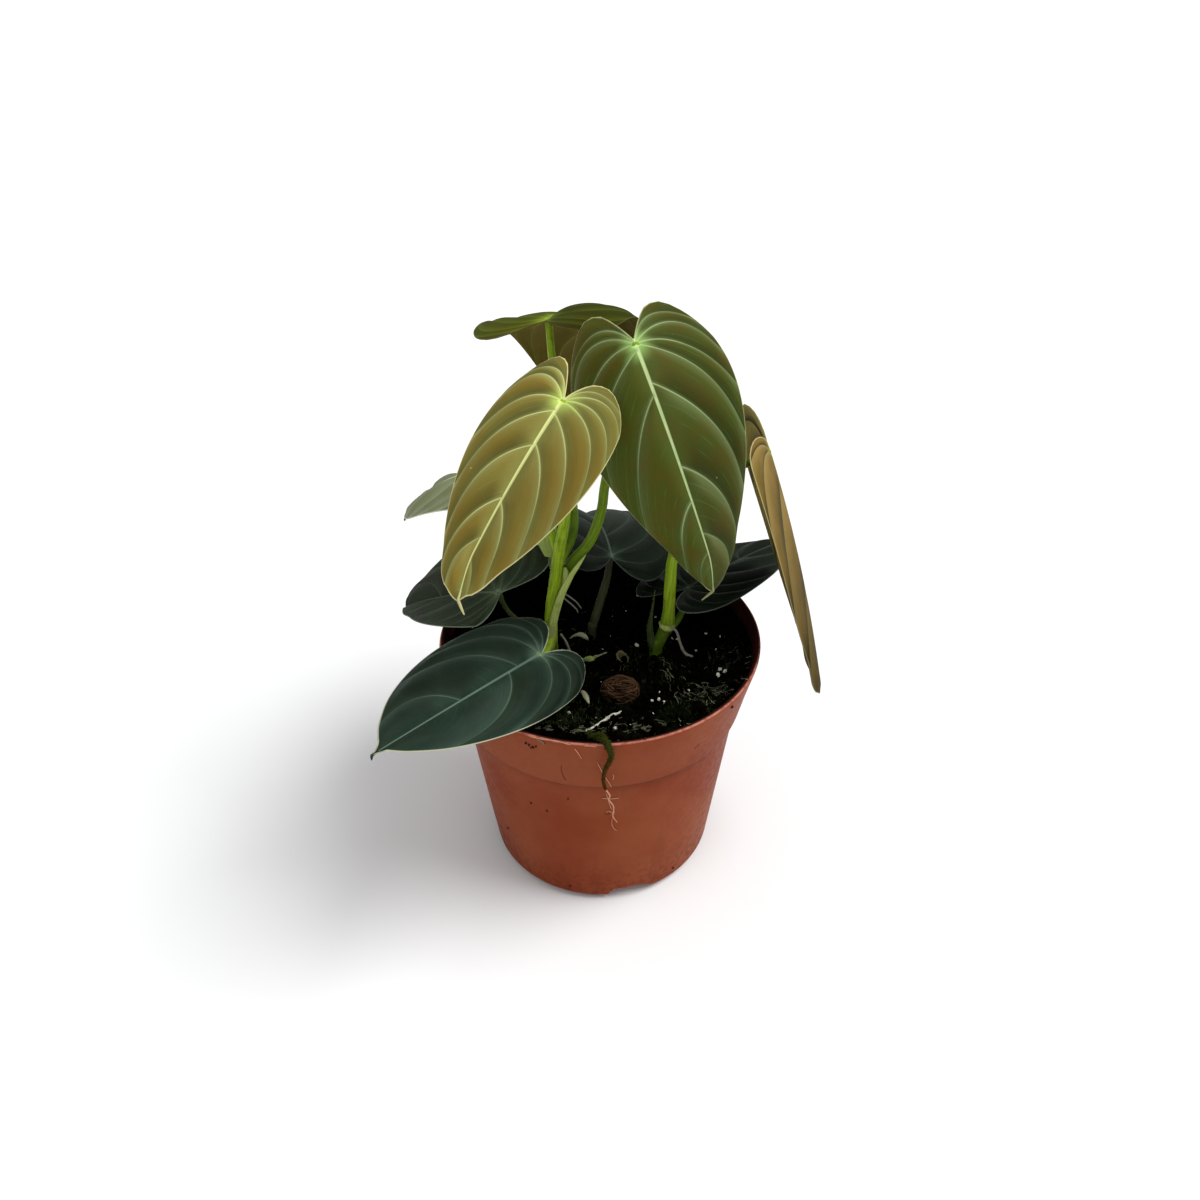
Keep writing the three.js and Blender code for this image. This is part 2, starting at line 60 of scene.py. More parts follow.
def addCamera(settings):
    down = math.radians(settings["down"])
    ahead = Vector((0, math.cos(down), -math.sin(down)))
    up = Vector((0, math.sin(down), math.cos(down)))
    right = Vector((1, 0, 0)) - up * settings["roll"]
    right.normalize()
    up = right.cross(ahead)
    data = bpy.data.cameras.new("camera")
    data.sensor_width = settings["sensor"]
    data.lens = settings["sensor"] * settings["focal"] / settings["frame"]
    data.clip_start = 0.01
    data.clip_end = 50
    camera = bpy.data.objects.new("camera", data)
    place = (Vector(settings["target"]) - ahead * settings["distance"]) / 1000
    turn = Matrix((right, up, -ahead)).transposed().to_4x4()
    camera.matrix_world = Matrix.Translation(place) @ turn
    bpy.context.collection.objects.link(camera)
    bpy.context.scene.camera = camera


addCamera(cameraSettings)

# Light: a white room and one broad soft source from the right

lightSettings = {
    "room": 0.64,
    "key": 2.6,
    "keyFrom": (1.0, -0.12, 1.55),
    "keyColour": (1.0, 0.995, 0.985),
    "softness": 36,          # degrees across
}


def addLight(settings):
    world = bpy.data.worlds.new("room")
    bpy.context.scene.world = world
    world.use_nodes = True
    sky = world.node_tree.nodes["Background"].inputs
    sky["Color"].default_value = (1, 1, 1, 1)
    sky["Strength"].default_value = settings["room"]
    data = bpy.data.lights.new("key", "SUN")
    data.energy = settings["key"]
    data.angle = math.radians(settings["softness"])
    data.color = settings["keyColour"]
    key = bpy.data.objects.new("key", data)
    key.rotation_euler = Vector(settings["keyFrom"]).to_track_quat("Z", "Y").to_euler()
    bpy.context.collection.objects.link(key)
    bpy.context.scene.view_settings.view_transform = "Standard"


addLight(lightSettings)
print("camera and light")

# Node helpers: each adds a node to the tree and returns its output. Values are numbers, colours or the
# outputs of other nodes.


def colour(text):  # "#rrggbb" as linear light
    parts = [int(text[i:i + 2], 16) / 255 for i in (1, 3, 5)]
    return tuple(c / 12.92 if c <= 0.04045 else ((c + 0.055) / 1.055) ** 2.4 for c in parts) + (1,)


def newNode(tree, kind, values, **settings):  # values go to the inputs, by number or by name
    node = tree.nodes.new("ShaderNode" + kind)
    for label, value in settings.items():
        setattr(node, label, value)
    for label, value in values.items():
        if isinstance(value, bpy.types.NodeSocket):
            tree.links.new(value, node.inputs[label])
        else:
            node.inputs[label].default_value = value
    return node


def calc(tree, operation, *values):
    return newNode(tree, "Math", dict(enumerate(values)), operation=operation).outputs[0]


def times(tree, one, other):
    return calc(tree, "MULTIPLY", one, other)


def plus(tree, one, other):
    return calc(tree, "ADD", one, other)


def ramp(tree, value, low, high, first=0.0, last=1.0):  # smooth step from first to last
    values = dict(enumerate((value, low, high, first, last)))
    return newNode(tree, "MapRange", values, interpolation_type="SMOOTHSTEP").outputs[0]


def mix(tree, share, one, other):
    return newNode(tree, "Mix", {0: share, 6: one, 7: other}, data_type="RGBA").outputs[2]


def noise(tree, vector, scale, detail=2.0, roughness=0.5):
    values = {"Vector": vector, "Scale": scale, "Detail": detail, "Roughness": roughness}
    return newNode(tree, "TexNoise", values).outputs["Fac"]


def cells(tree, vector, scale):  # distance from the nearest of scattered points
    return newNode(tree, "TexVoronoi", {"Vector": vector, "Scale": scale}).outputs["Distance"]


def scaled(tree, vector, factor):
    return newNode(tree, "VectorMath", {0: vector, "Scale": factor}, operation="SCALE").outputs[0]


def stretched(tree, vector, scale):
    return newNode(tree, "Mapping", {"Vector": vector, "Scale": scale}).outputs[0]


def parted(tree, vector):
    return newNode(tree, "SeparateXYZ", {0: vector}).outputs


def objectPlace(tree):
    return newNode(tree, "TexCoord", {}).outputs["Object"]


def surfaceMap(tree):
    return newNode(tree, "UVMap", {}, uv_map="surface").outputs[0]


def attribute(tree, name):
    return newNode(tree, "Attribute", {}, attribute_name=name).outputs["Fac"]


def newPattern(name, colours, numbers=()):
    # a node group from colours and numbers to a colour, a roughness and a height
    group = bpy.data.node_groups.new(name, "ShaderNodeTree")
    sockets = [(label, "INPUT", "Color") for label in colours]
    sockets += [(label, "INPUT", "Float") for label in numbers]
    outputs = {"Color": "Color", "Roughness": "Float", "Height": "Float"}
    sockets += [(label, "OUTPUT", kind) for label, kind in outputs.items()]
    for label, way, kind in sockets:
        group.interface.new_socket(label, in_out=way, socket_type="NodeSocket" + kind)
    return group, group.nodes.new("NodeGroupInput").outputs


def endPattern(group, tone, roughness, height):
    leave = group.nodes.new("NodeGroupOutput").inputs
    for label, value in (("Color", tone), ("Roughness", roughness), ("Height", height)):
        group.links.new(value, leave[label])
    return group


def newMaterial(name, settings, pattern=None, colours="", numbers=(), bumpDepth=0.0):
    # settings go to the shader's own sockets; colours and numbers to the pattern's inputs in their order
    material = bpy.data.materials.new(name)
    material.use_nodes = True
    tree = material.node_tree
    tree.nodes.clear()
    shader = tree.nodes.new("ShaderNodeBsdfPrincipled")
    tree.links.new(shader.outputs[0], tree.nodes.new("ShaderNodeOutputMaterial").inputs[0])
    for label, value in settings.items():
        shader.inputs[label].default_value = value
    if pattern:
        node = newNode(tree, "Group", {}, node_tree=pattern)
        for value, socket in zip([colour(text) for text in colours.split()] + list(numbers), node.inputs):
            socket.default_value = value
        tree.links.new(node.outputs["Color"], shader.inputs["Base Color"])
        tree.links.new(node.outputs["Roughness"], shader.inputs["Roughness"])
        bump = newNode(tree, "Bump", {"Distance": bumpDepth, "Height": node.outputs["Height"]})
        tree.links.new(bump.outputs[0], shader.inputs["Normal"])
    return material


# Mesh helpers. A shell is a dictionary: points (n, 3) in mm, faces (m, 3 or 4) and, where it needs them, a
# map and values at the points and the number of its material.


def gridFaces(rows, columns, around=False, flip=False):
    # quads between neighbouring rows and columns of a grid of point numbers, open or closed around
    number = np.arange(rows * columns).reshape(rows, columns)
    if around:
        number = np.hstack([number, number[:, :1]])
    quads = np.stack([number[:-1, :-1], number[:-1, 1:], number[1:, 1:], number[1:, :-1]], -1)
    quads = quads.reshape(-1, 4)
    return quads[:, ::-1] if flip else quads


def sheet(grid, around=False, flip=False, **more):  # a shell from a grid of points (rows, columns, 3)
    return {"points": grid.reshape(-1, 3), "faces": gridFaces(*grid.shape[:2], around, flip), **more}


def makeObject(name, shells, materials, smooth=True, weld=1e-6):
    sizes = [len(shell["points"]) for shell in shells]
    starts = np.cumsum([0] + sizes)
    points = np.concatenate([shell["points"] for shell in shells])
    corners = np.concatenate([(shell["faces"] + start).ravel() for shell, start in zip(shells, starts)])
    counts = np.concatenate([np.full(len(shell["faces"]), shell["faces"].shape[1]) for shell in shells])
    slots = np.concatenate([np.full(len(shell["faces"]), shell.get("material", 0)) for shell in shells])
    maps = np.concatenate([shell.get("map", np.zeros((size, 2))) for shell, size in zip(shells, sizes)])
    mesh = bpy.data.meshes.new(name)
    mesh.vertices.add(len(points))
    mesh.vertices.foreach_set("co", (points * 0.001).astype(np.float32).ravel())
    mesh.loops.add(len(corners))
    mesh.loops.foreach_set("vertex_index", corners.astype(np.int32))
    mesh.polygons.add(len(counts))
    mesh.polygons.foreach_set("loop_start", (np.cumsum(counts) - counts).astype(np.int32))
    mesh.polygons.foreach_set("material_index", slots.astype(np.int32))
    for label in sorted({label for shell in shells for label in shell.get("values", {})}):
        given = [np.broadcast_to(shell.get("values", {}).get(label, 0.0), size)
                 for shell, size in zip(shells, sizes)]
        layer = mesh.attributes.new(label, "FLOAT", "POINT")
        layer.data.foreach_set("value", np.concatenate(given).astype(np.float32))
    layer = mesh.uv_layers.new(name="surface")
    layer.data.foreach_set("uv", maps[corners].astype(np.float32).ravel())
    mesh.update(calc_edges=True)
    if weld:  # closes seams and poles, where points of neighbouring rows meet
        work = bmesh.new()
        work.from_mesh(mesh)
        bmesh.ops.remove_doubles(work, verts=work.verts, dist=weld)
        bmesh.ops.dissolve_degenerate(work, edges=work.edges, dist=weld / 2)
        work.to_mesh(mesh)
        work.free()
    mesh.validate()
    mesh.polygons.foreach_set("use_smooth", np.full(len(mesh.polygons), smooth))
    for material in materials:
        mesh.materials.append(material)
    made = bpy.data.objects.new(name, mesh)
    bpy.context.collection.objects.link(made)
    return made


def settle(piece, slotName, *nodes):
    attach(piece, "root")
    if nodes:
        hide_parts(*nodes)


def makePiece(name, shells, materials, slotName, *nodes, **more):
    settle(makeObject(name, shells, materials, **more), slotName, *nodes)


# Lines and surfaces


def unit(vectors):
    return vectors / np.maximum(np.linalg.norm(vectors, axis=-1, keepdims=True), 1e-12)


def fullTurn(count):  # angles at even steps once around
    return np.arange(count) * 2 * math.pi / count


def smoothStep(value, low, high):
    share = np.clip((value - low) / (high - low), 0, 1)
    return share * share * (3 - 2 * share)


def readAlong(values, at):  # values that stand at 0, 1, 2 and so on, read in between
    return np.interp(at, np.arange(len(values)), values)


def lengthsTo(line):  # how far along the line each of its points is
    return np.concatenate([[0], np.cumsum(np.linalg.norm(np.diff(line, axis=0), axis=1))])


def through(points, at):
    # a smooth line through the points (Catmull-Rom): at runs from 0 to the number of spans
    points = np.asarray(points, float)
    padded = np.vstack([2 * points[0] - points[1], points, 2 * points[-1] - points[-2]])
    span = np.clip(np.floor(at).astype(int), 0, len(points) - 2)
    s = (at - span)[..., None]
    a, b, c, d = (padded[span + k] for k in range(4))
    second, third = 2 * a - 5 * b + 4 * c - d, 3 * b - a - 3 * c + d
    return 0.5 * (2 * b + (c - a) * s + second * s ** 2 + third * s ** 3)


def evenly(points, step):
    # the smooth line's points about a step apart, and where each is among the given ones
    fine = np.linspace(0, len(points) - 1, 40 * len(points))
    length = lengthsTo(through(points, fine))
    count = max(4, int(length[-1] / step))
    at = np.interp(np.linspace(0, length[-1], count + 1), length, fine)
    return through(points, at), at


def lumps(x, y, size, seed):
    # value noise: random heights on a square lattice of that size in mm, smoothly joined, -1 to 1
    table = np.random.default_rng(seed).uniform(-1, 1, (64, 64))
    u, v = x / size + 100.3, y / size + 100.7
    i, j = np.floor(u).astype(int), np.floor(v).astype(int)
    s, t = smoothStep(u - i, 0, 1), smoothStep(v - j, 0, 1)
    near, far = ([table[(i + a) % 64, (j + b) % 64] for b in (0, 1)] for a in (0, 1))
    return (near[0] * (1 - t) + near[1] * t) * (1 - s) + (far[0] * (1 - t) + far[1] * t) * s


def carried(paths, radii, sides, reference):
    # round profiles carried along lines: paths (..., steps, 3), radii (..., steps, 1 or sides); each
    # profile stands square to its line and is turned by the reference direction
    ahead = unit(np.gradient(paths, axis=-2))
    side = unit(np.cross(ahead, np.array(reference)))
    over = np.cross(side, ahead)
    turn = fullTurn(sides)[:, None]
    ring = np.cos(turn) * side[..., None, :] + np.sin(turn) * over[..., None, :]
    return paths[..., None, :] + radii[..., None] * ring


def tube(points, radii, sides, step, values, rough=0.0, seed=1, material=0):
    # a round profile carried along the smooth line and closed by domes; its radius and the values that
    # are lists are read along the line
    line, at = evenly(points, step)
    radius = readAlong(radii, at)
    dome = np.cos(np.linspace(math.pi / 2, 0, 5))[:-1]
    rise = np.sin(np.arccos(dome))[:, None]
    start = line[0] - unit(line[1] - line[0]) * radius[0] * rise
    finish = line[-1] + unit(line[-1] - line[-2]) * radius[-1] * rise[::-1]
    line = np.vstack([start, line, finish])
    radius = np.concatenate([radius[0] * dome, radius, radius[-1] * dome[::-1]])
    at = np.pad(at, len(dome), mode="edge")
    bumps = lumps(*np.meshgrid(fullTurn(sides) * 3, at * 3 + seed), 1.0, seed=seed)
    grid = carried(line, radius[:, None] * (1 + rough * bumps), sides, (0.3, 0.95, 0.1))
    around = np.abs(np.linspace(-1, 1, sides, endpoint=False))
    placed = np.stack(np.broadcast_arrays(around, lengthsTo(line)[:, None] / 100), -1)
    given = {label: np.repeat(readAlong(np.atleast_1d(value), at), sides) for label, value in values.items()}
    return sheet(grid, around=True, flip=True, map=placed.reshape(-1, 2), material=material, values=given)


# Leaves

leafForm = {
    "thickness": 0.42,
    "edgeRound": 0.4,        # how far in from the margin the blade reaches its thickness
    "quilt": 1.9,            # swelling between the veins, mm
    "quiltReach": 2.4,       # how fast it rises beside a vein
    "wave": 0.7,             # waviness of the margin, mm
    "waves": 2.5,            # how many of them from the notch to the tip
    "groove": 0.16,          # depth of a side vein in the upper face
    "ridge": 0.45,           # how proud the veins stand underneath
    "ribLift": 0.12,         # how proud the midrib stands on the upper face
    "veinWidth": 0.27,       # half width of a side vein
    "ribWidth": 0.55,        # half width of the midrib at the stalk
}

# Half the outline, from the notch round the lobe to the drip tip: across in half widths, along in
# lengths from where the stalk joins
halfOutline = np.array([
    [0, -0.02], [0.1, -0.13], [0.26, -0.25], [0.5, -0.3], [0.76, -0.22], [0.94, -0.06], [1, 0.13],
    [0.95, 0.34], [0.8, 0.55], [0.57, 0.74], [0.29, 0.89], [0.09, 0.965], [0.03, 1.01], [0, 1.05],
])
outlineSpans = len(halfOutline) - 1
tipFrom, tipReach = 0.95, 0.1  # the drawn-out tip: where it starts and its length, in blade lengths

# The side veins: one cubic curve each from the stalk or the midrib to the margin. Each row holds the
# vein's number, its start on the midrib, two control points and the outline point where it ends.
veinTable = np.array([
    [0.0, 0.00, 0.00, -0.007, 0.00, -0.013, 0.0],
    [1.0, 0.00, 0.10, -0.150, 0.35, -0.300, 4.3],
    [2.0, 0.00, 0.27, -0.170, 0.78, -0.260, 5.6],
    [3.0, 0.00, 0.30, -0.060, 0.78, -0.050, 6.45],
    [4.0, 0.00, 0.33, 0.020, 0.86, 0.080, 7.5],
    [5.0, 0.08, 0.34, 0.140, 0.86, 0.270, 8.2],
    [6.0, 0.25, 0.33, 0.310, 0.72, 0.440, 9.1],
    [7.0, 0.50, 0.22, 0.550, 0.50, 0.670, 10.0],
    [8.0, 0.71, 0.13, 0.750, 0.27, 0.820, 10.8],
    [8.5, 0.88, 0.06, 0.910, 0.10, 0.945, 11.6],
    [9.0, 1.05, 0.00, 1.050, 0.00, 1.050, 13.0],
])
lastVein = 9

# Each leaf: the stalk's join in mm, angles in degrees (heading from +X, pitch, roll, and droop, the
# midrib's bend from stalk to tip), length in mm, the sideways sweep of the midrib and of the tip, and the
# thread at the tip. Its right and left halves: width in mm, length of the lobe against the outline's,
# fold at the midrib and curl out to the margin in degrees, lean of the last veins towards the tip,
# bluntness, strength of the painted light and shade on the panels, painted light and shade as a
# brightness that changes from stalk to tip, and the numbers of its veins.
leaves = {
    "leaf_gold_front": {
        "hub": (-10.5, -21.5, 204.5), "heading": -121, "pitch": -23, "roll": 5, "length": 70.5,
        "droop": 21, "sweep": 0.02, "finish": "gold", "drip": (1.2, -2.0, 3.0, 0), "tip": -3.0,
        "short": 0.55,
        "right": {"width": 24, "lobe": 0.8, "fold": 2, "curl": 25, "blunt": 0.12, "relief": 1.0,
            "gain": (1.3, 1.18, 1.2), "veins": (1.1, 2, 3.3, 4.7, 6, 7.1, 8)},
        "left": {"width": 21.5, "lobe": 0.55, "fold": 15, "curl": 34, "lean": 0.3, "blunt": 0.03,
            "relief": 0.35, "gain": (1.04, 0.86, 0.93), "veins": (1, 1.8, 2.7, 3.8, 4.9, 5.95, 7.2, 8.3)},
    },
    "leaf_olive_large": {
        "hub": (12, -3.5, 215), "heading": -71, "pitch": -29, "roll": -20, "length": 95, "droop": 87,
        "finish": "olive", "drip": (0.3, 3.9, 2.1, 0), "tip": 2.2, "short": 0.25,
        "right": {"width": 33, "lobe": 0.72, "fold": 32, "curl": 14, "lean": 0.25, "blunt": 0.03,
            "relief": 0.3, "gain": (1.45, 1.38, 1.35), "veins": (1.2, 2, 3, 4.3, 5.65, 7.3, 8.2)},
        "left": {"width": 32, "lobe": 0.6, "fold": 32, "curl": 2, "lean": 0.05, "blunt": 0.13,
            "relief": 0.8, "gain": (1.1, 0.82, 0.94), "veins": (1, 2, 3, 4, 5.4, 6.75, 7.9)},
    },
    "leaf_top_back": {
        "hub": (-16.5, 38, 207), "heading": 73, "pitch": -5, "roll": -6, "length": 94.5, "droop": 103,
        "sweep": 0.057, "finish": "oliveBack", "drip": (0.8, 0.0, 0.3, 1), "tip": 3.5, "short": 0.15,
        "quilt": 0.55,
        "right": {"width": 27.5, "lobe": 0.65, "fold": -37, "curl": 60, "relief": 0.6,
            "gain": (0.6, 0.58, 0.62), "veins": (1.1, 2.1, 3.2, 4.4, 5.8, 7, 8)},
        "left": {"width": 29, "lobe": 0.6, "fold": 17, "curl": 3.5, "relief": 0.5,
            "gain": (1.0, 0.95, 0.9), "veins": (1, 2, 3, 4.2, 5.5, 6.8, 8.1)},
    },
    "leaf_gold_side": {
        "hub": (60.7, 17.5, 165.5), "heading": -47, "pitch": -62.3, "roll": 45, "length": 93, "droop": 9.8,
        "sweep": -0.013, "finish": "goldSide", "short": 0.55, "quilt": 0.5,
        "right": {"width": 31.5, "lobe": 0.25, "fold": 10.8, "curl": 8, "lean": 0.2, "blunt": 0.27,
            "relief": 1.6, "gain": (1.3, 0.75, 0.36), "veins": (1.5, 3.1, 5.2, 7.2)},
        "left": {"width": 26, "lobe": 0.6, "fold": 10, "curl": 24.5, "lean": 0.2, "blunt": 0.27,
            "relief": 1.6, "gain": (1.5, 0.85, 0.36), "veins": (1.4, 2.9, 4.8, 6.9)},
    },
    "leaf_left_small": {
        "hub": (-38.5, 12.5, 162), "heading": 146, "pitch": -21, "roll": 8, "length": 59, "droop": 34,
        "finish": "grey", "drip": (1.0, 0.0, 0.4, 1), "short": 0.15, "gain": (1.3, 1.25, 1.2),
        "relief": 0.9,
        "right": {"width": 19, "lobe": 0.8, "fold": 5, "curl": 24, "lean": 0.1,
            "veins": (1.2, 2.2, 3.3, 4.5, 6.1, 7.4)},
        "left": {"width": 19, "lobe": 0.8, "fold": 6, "curl": 14, "veins": (1.1, 2.1, 3.1, 4.3, 5.7, 7.1)},
    },
    "leaf_dark_left": {
        "hub": (-37.5, 5.5, 114), "heading": 145, "pitch": -22, "roll": 6, "length": 60, "droop": 14,
        "sweep": 0.01, "finish": "dark", "short": 0.5, "gain": (0.8, 0.74, 0.62), "quilt": 0.6,
        "right": {"width": 23.5, "lobe": 1.33, "fold": -45, "curl": 12, "blunt": 0.1,
            "veins": (1.2, 2.2, 3.3, 4.5, 6, 7.3)},
        "left": {"width": 18.5, "lobe": 0.2, "fold": -2, "curl": 23, "lean": 0.1, "blunt": 0.1,
            "veins": (1.3, 2.3, 3.4, 4.6, 6.2, 7.5)},
    },
    "leaf_dark_front": {
        "hub": (-21.5, -21.5, 106), "heading": -126, "pitch": 11, "roll": 12, "length": 79, "droop": 4,
        "sweep": 0.01, "finish": "darkFront", "drip": (0.4, 0.0, 1.6, 1), "short": 0.25, "relief": 0.6,
        "gain": (0.95, 1.0, 0.96),
        "right": {"width": 28, "lobe": 0.65, "fold": -19, "curl": 58, "veins": (1.2, 2.4, 3.9, 5.4, 7.1)},
        "left": {"width": 21, "lobe": 0.55, "fold": -8, "curl": 57, "veins": (1.3, 2.5, 3.9, 5.8)},
    },
    "leaf_dark_back": {
        "hub": (4.5, 23.5, 118), "heading": 95, "pitch": -3, "roll": -18, "length": 76, "droop": 35,
        "sweep": -0.01, "finish": "darkBack", "drip": (0.8, 0.0, 0.3, 1), "short": 0.15, "quilt": 0.6,
        "right": {"width": 24, "lobe": 0.95, "fold": -29, "curl": 15, "gain": (0.55, 0.6, 0.62),
            "veins": (2.2, 4.1, 5.9)},
        "left": {"width": 25, "lobe": 0.75, "fold": -10, "curl": 16, "gain": (0.26, 0.3, 0.3),
            "veins": (2.4, 4.4, 6.3)},
    },
    "leaf_dark_right": {
        "hub": (33.5, 11, 111.5), "heading": 47, "pitch": -4, "roll": 5, "length": 66, "droop": 9,
        "sweep": -0.01, "finish": "darkRight", "drip": (1.0, 0.0, 0.6, 1), "short": 0.15,
        "gain": (0.32, 0.31, 0.37),
        "right": {"width": 21.5, "lobe": 0.85, "fold": -11, "curl": 14, "lean": 0.1,
            "veins": (1.2, 2.2, 3.2, 4.4, 5.8, 7.1)},
        "left": {"width": 21, "lobe": 0.8, "fold": -1, "curl": 10, "veins": (1.1, 2.1, 3.2, 4.3, 5.6, 7)},
    },
}
leafDefaults = {"tip": 0.0, "sweep": 0.0, "drip": None}
halfDefaults = {"lean": 0.0, "blunt": 0.0, "relief": 0.4, "gain": (1.0, 1.0, 1.0), "quilt": 1.0,
                "short": 0.0}
for leaf in leaves.values():
    leaf.update({label: leaf.get(label, value) for label, value in leafDefaults.items()})
    for half in (leaf["right"], leaf["left"]):  # a half's own value comes before its leaf's
        half.update({label: half.get(label, leaf.get(label, value)) for label, value in halfDefaults.items()})


def lobed(along, lobe):  # the part behind the stalk is longer or shorter by the lobe's factor
    return np.where(along < -0.02, -0.02 + (along + 0.02) * lobe, along)


def tipShortened(along, short):
    return along - short * np.maximum(along - tipFrom, 0)


def veinCurve(half, number, out):
    # the flat place of a point on the vein with that number: a cubic from the midrib (out 0) to the
    # margin (out 1); numbers between two veins give the curves between them
    start, ax, ay, bx, by, knot = (np.interp(number, veinTable[:, 0], veinTable[:, k]) for k in range(1, 7))
    edge = through(halfOutline, knot)
    last = np.clip((edge[..., 1] - tipFrom) / tipReach, 0, 1)  # a blunt leaf is rounder over its last tenth
    full = half["blunt"] * smoothStep(edge[..., 1], 0.78, tipFrom) * np.sqrt(np.clip(1 - last ** 2, 0, 1))
    start, ay, by = (tipShortened(along, half["short"]) for along in (start, ay, by))
    edge = np.stack([edge[..., 0] + full, tipShortened(edge[..., 1], half["short"])], -1)
    lean = half["lean"] * smoothStep(number, 4, 5.5)
    ax, bx, by = ax * (1 - lean), bx * (1 - lean), by + 0.12 * lean * (1 - by)
    corners = [(0 * start, start), (ax, lobed(ay, half["lobe"])), (bx, lobed(by, half["lobe"])),
               (edge[..., 0], lobed(edge[..., 1], half["lobe"]))]
    stay = 1 - out
    weights = [stay ** 3, 3 * stay ** 2 * out, 3 * stay * out ** 2, out ** 3]
    across, along = (sum(w * c[k] for w, c in zip(weights, corners)) for k in (0, 1))
    return across, along, knot


def flatPlaces(leaf, half, number, out):  # the same in mm, as one array
    across, along, _ = veinCurve(half, number, out)
    return np.stack([across * half["width"], along * leaf["length"]], -1).reshape(-1, 2)


def distanceTo(points, line):
    # the nearest distance from each flat point to a line of segments, and how far along it that is
    first, step = line[:-1], np.diff(line, axis=0)
    away = points[:, None] - first[None]
    share = np.clip((away * step).sum(-1) / np.maximum((step ** 2).sum(-1), 1e-9), 0, 1)
    gap = np.linalg.norm(away - share[..., None] * step, axis=-1)
    nearest = gap.argmin(1)
    rows = np.arange(len(points))
    return gap[rows, nearest], (nearest + share[rows, nearest]) / len(step)


def leafFrame(leaf):  # the directions ahead, to the right and off the upper face, where the stalk joins
    heading, pitch, roll = (math.radians(leaf[label]) for label in ("heading", "pitch", "roll"))
    level = np.array([math.cos(heading), math.sin(heading), 0])
    side = np.array([math.sin(heading), -math.cos(heading), 0])
    up = np.array([0, 0, 1.0])
    forward = level * math.cos(pitch) + up * math.sin(pitch)
    lifted = -level * math.sin(pitch) + up * math.cos(pitch)
    right = side * math.cos(roll) + lifted * math.sin(roll)
    normal = -side * math.sin(roll) + lifted * math.cos(roll)
    return forward, right, normal


def bladePoint(leaf, half, hand, across, along, height):
    # the midrib bends down in an arc; each half turns down from it by its fold at once and by its
    # curl on the way out; height is measured off the blade
    forward, right, normal = leafFrame(leaf)
    length, droop = leaf["length"], math.radians(leaf["droop"])
    share = np.maximum(along / length, 0)
    bend = droop * share
    run = np.where(along > 0, length * np.sin(bend) / droop, along)
    fall = length * (1 - np.cos(bend)) / droop
    fold = math.radians(half["fold"])
    turn = math.radians(half["curl"]) / half["width"]
    tilt = fold + turn * across
    reach = (np.sin(tilt) - math.sin(fold)) / turn
    sink = (math.cos(fold) - np.cos(tilt)) / turn
    lean = fold * np.clip(across / 1.5, 0, 1) + turn * across
    sideways = hand * (reach + height * np.sin(lean)) + leaf["sweep"] * length * share ** 2
    sideways = sideways + leaf["tip"] * smoothStep(share, 0.78, 1.08)
    lift = -sink + height * np.cos(lean)
    return (np.array(leaf["hub"]) + sideways[..., None] * right
            + (run + lift * np.sin(bend))[..., None] * forward
            + (-fall + lift * np.cos(bend))[..., None] * normal)


def leafRows(leaf):  # rows of the grid: close together beside every vein of either half
    centres = np.unique(leaf["right"]["veins"] + leaf["left"]["veins"])
    beside = (centres[:, None] + np.array([-0.12, -0.06, -0.027, 0, 0.027, 0.06, 0.12])).ravel()
    rows = np.concatenate([np.linspace(0, lastVein, 82), beside])
    rows = np.sort(rows[(rows >= 0) & (rows <= lastVein)])
    fixed = np.isin(rows, centres)
    kept = [0]
    for i in range(1, len(rows)):
        if rows[i] - rows[kept[-1]] > 0.018:
            kept.append(i)
        elif fixed[i] and kept[-1] > 0:
            kept[-1] = i
    rows = rows[kept]
    rows[-1] = lastVein
    return rows


leafColumns = np.concatenate([  # close together beside the midrib and the margin
    [0, 0.006, 0.012, 0.02, 0.03, 0.045, 0.065],
    np.linspace(0.09, 0.93, 22),
    [0.955, 0.975, 0.988, 0.996, 1],
])


def veinGaps(leaf, half, flat):
    # from each flat point to the nearest side vein: the gap in mm, and in half widths of that vein
    nearest, counted = np.full(len(flat), 99.0), np.full(len(flat), 99.0)
    samples = 60
    for vein in half["veins"]:
        line = flatPlaces(leaf, half, np.full(samples, vein), np.linspace(0, 1, samples))
        gap, share = distanceTo(flat, line)
        width = leafForm["veinWidth"] * (1 - 0.55 * share) * (1 if vein > 1.5 else 0.8)
        counted = np.minimum(counted, gap / width)
        nearest = np.minimum(nearest, gap)
    return nearest, counted


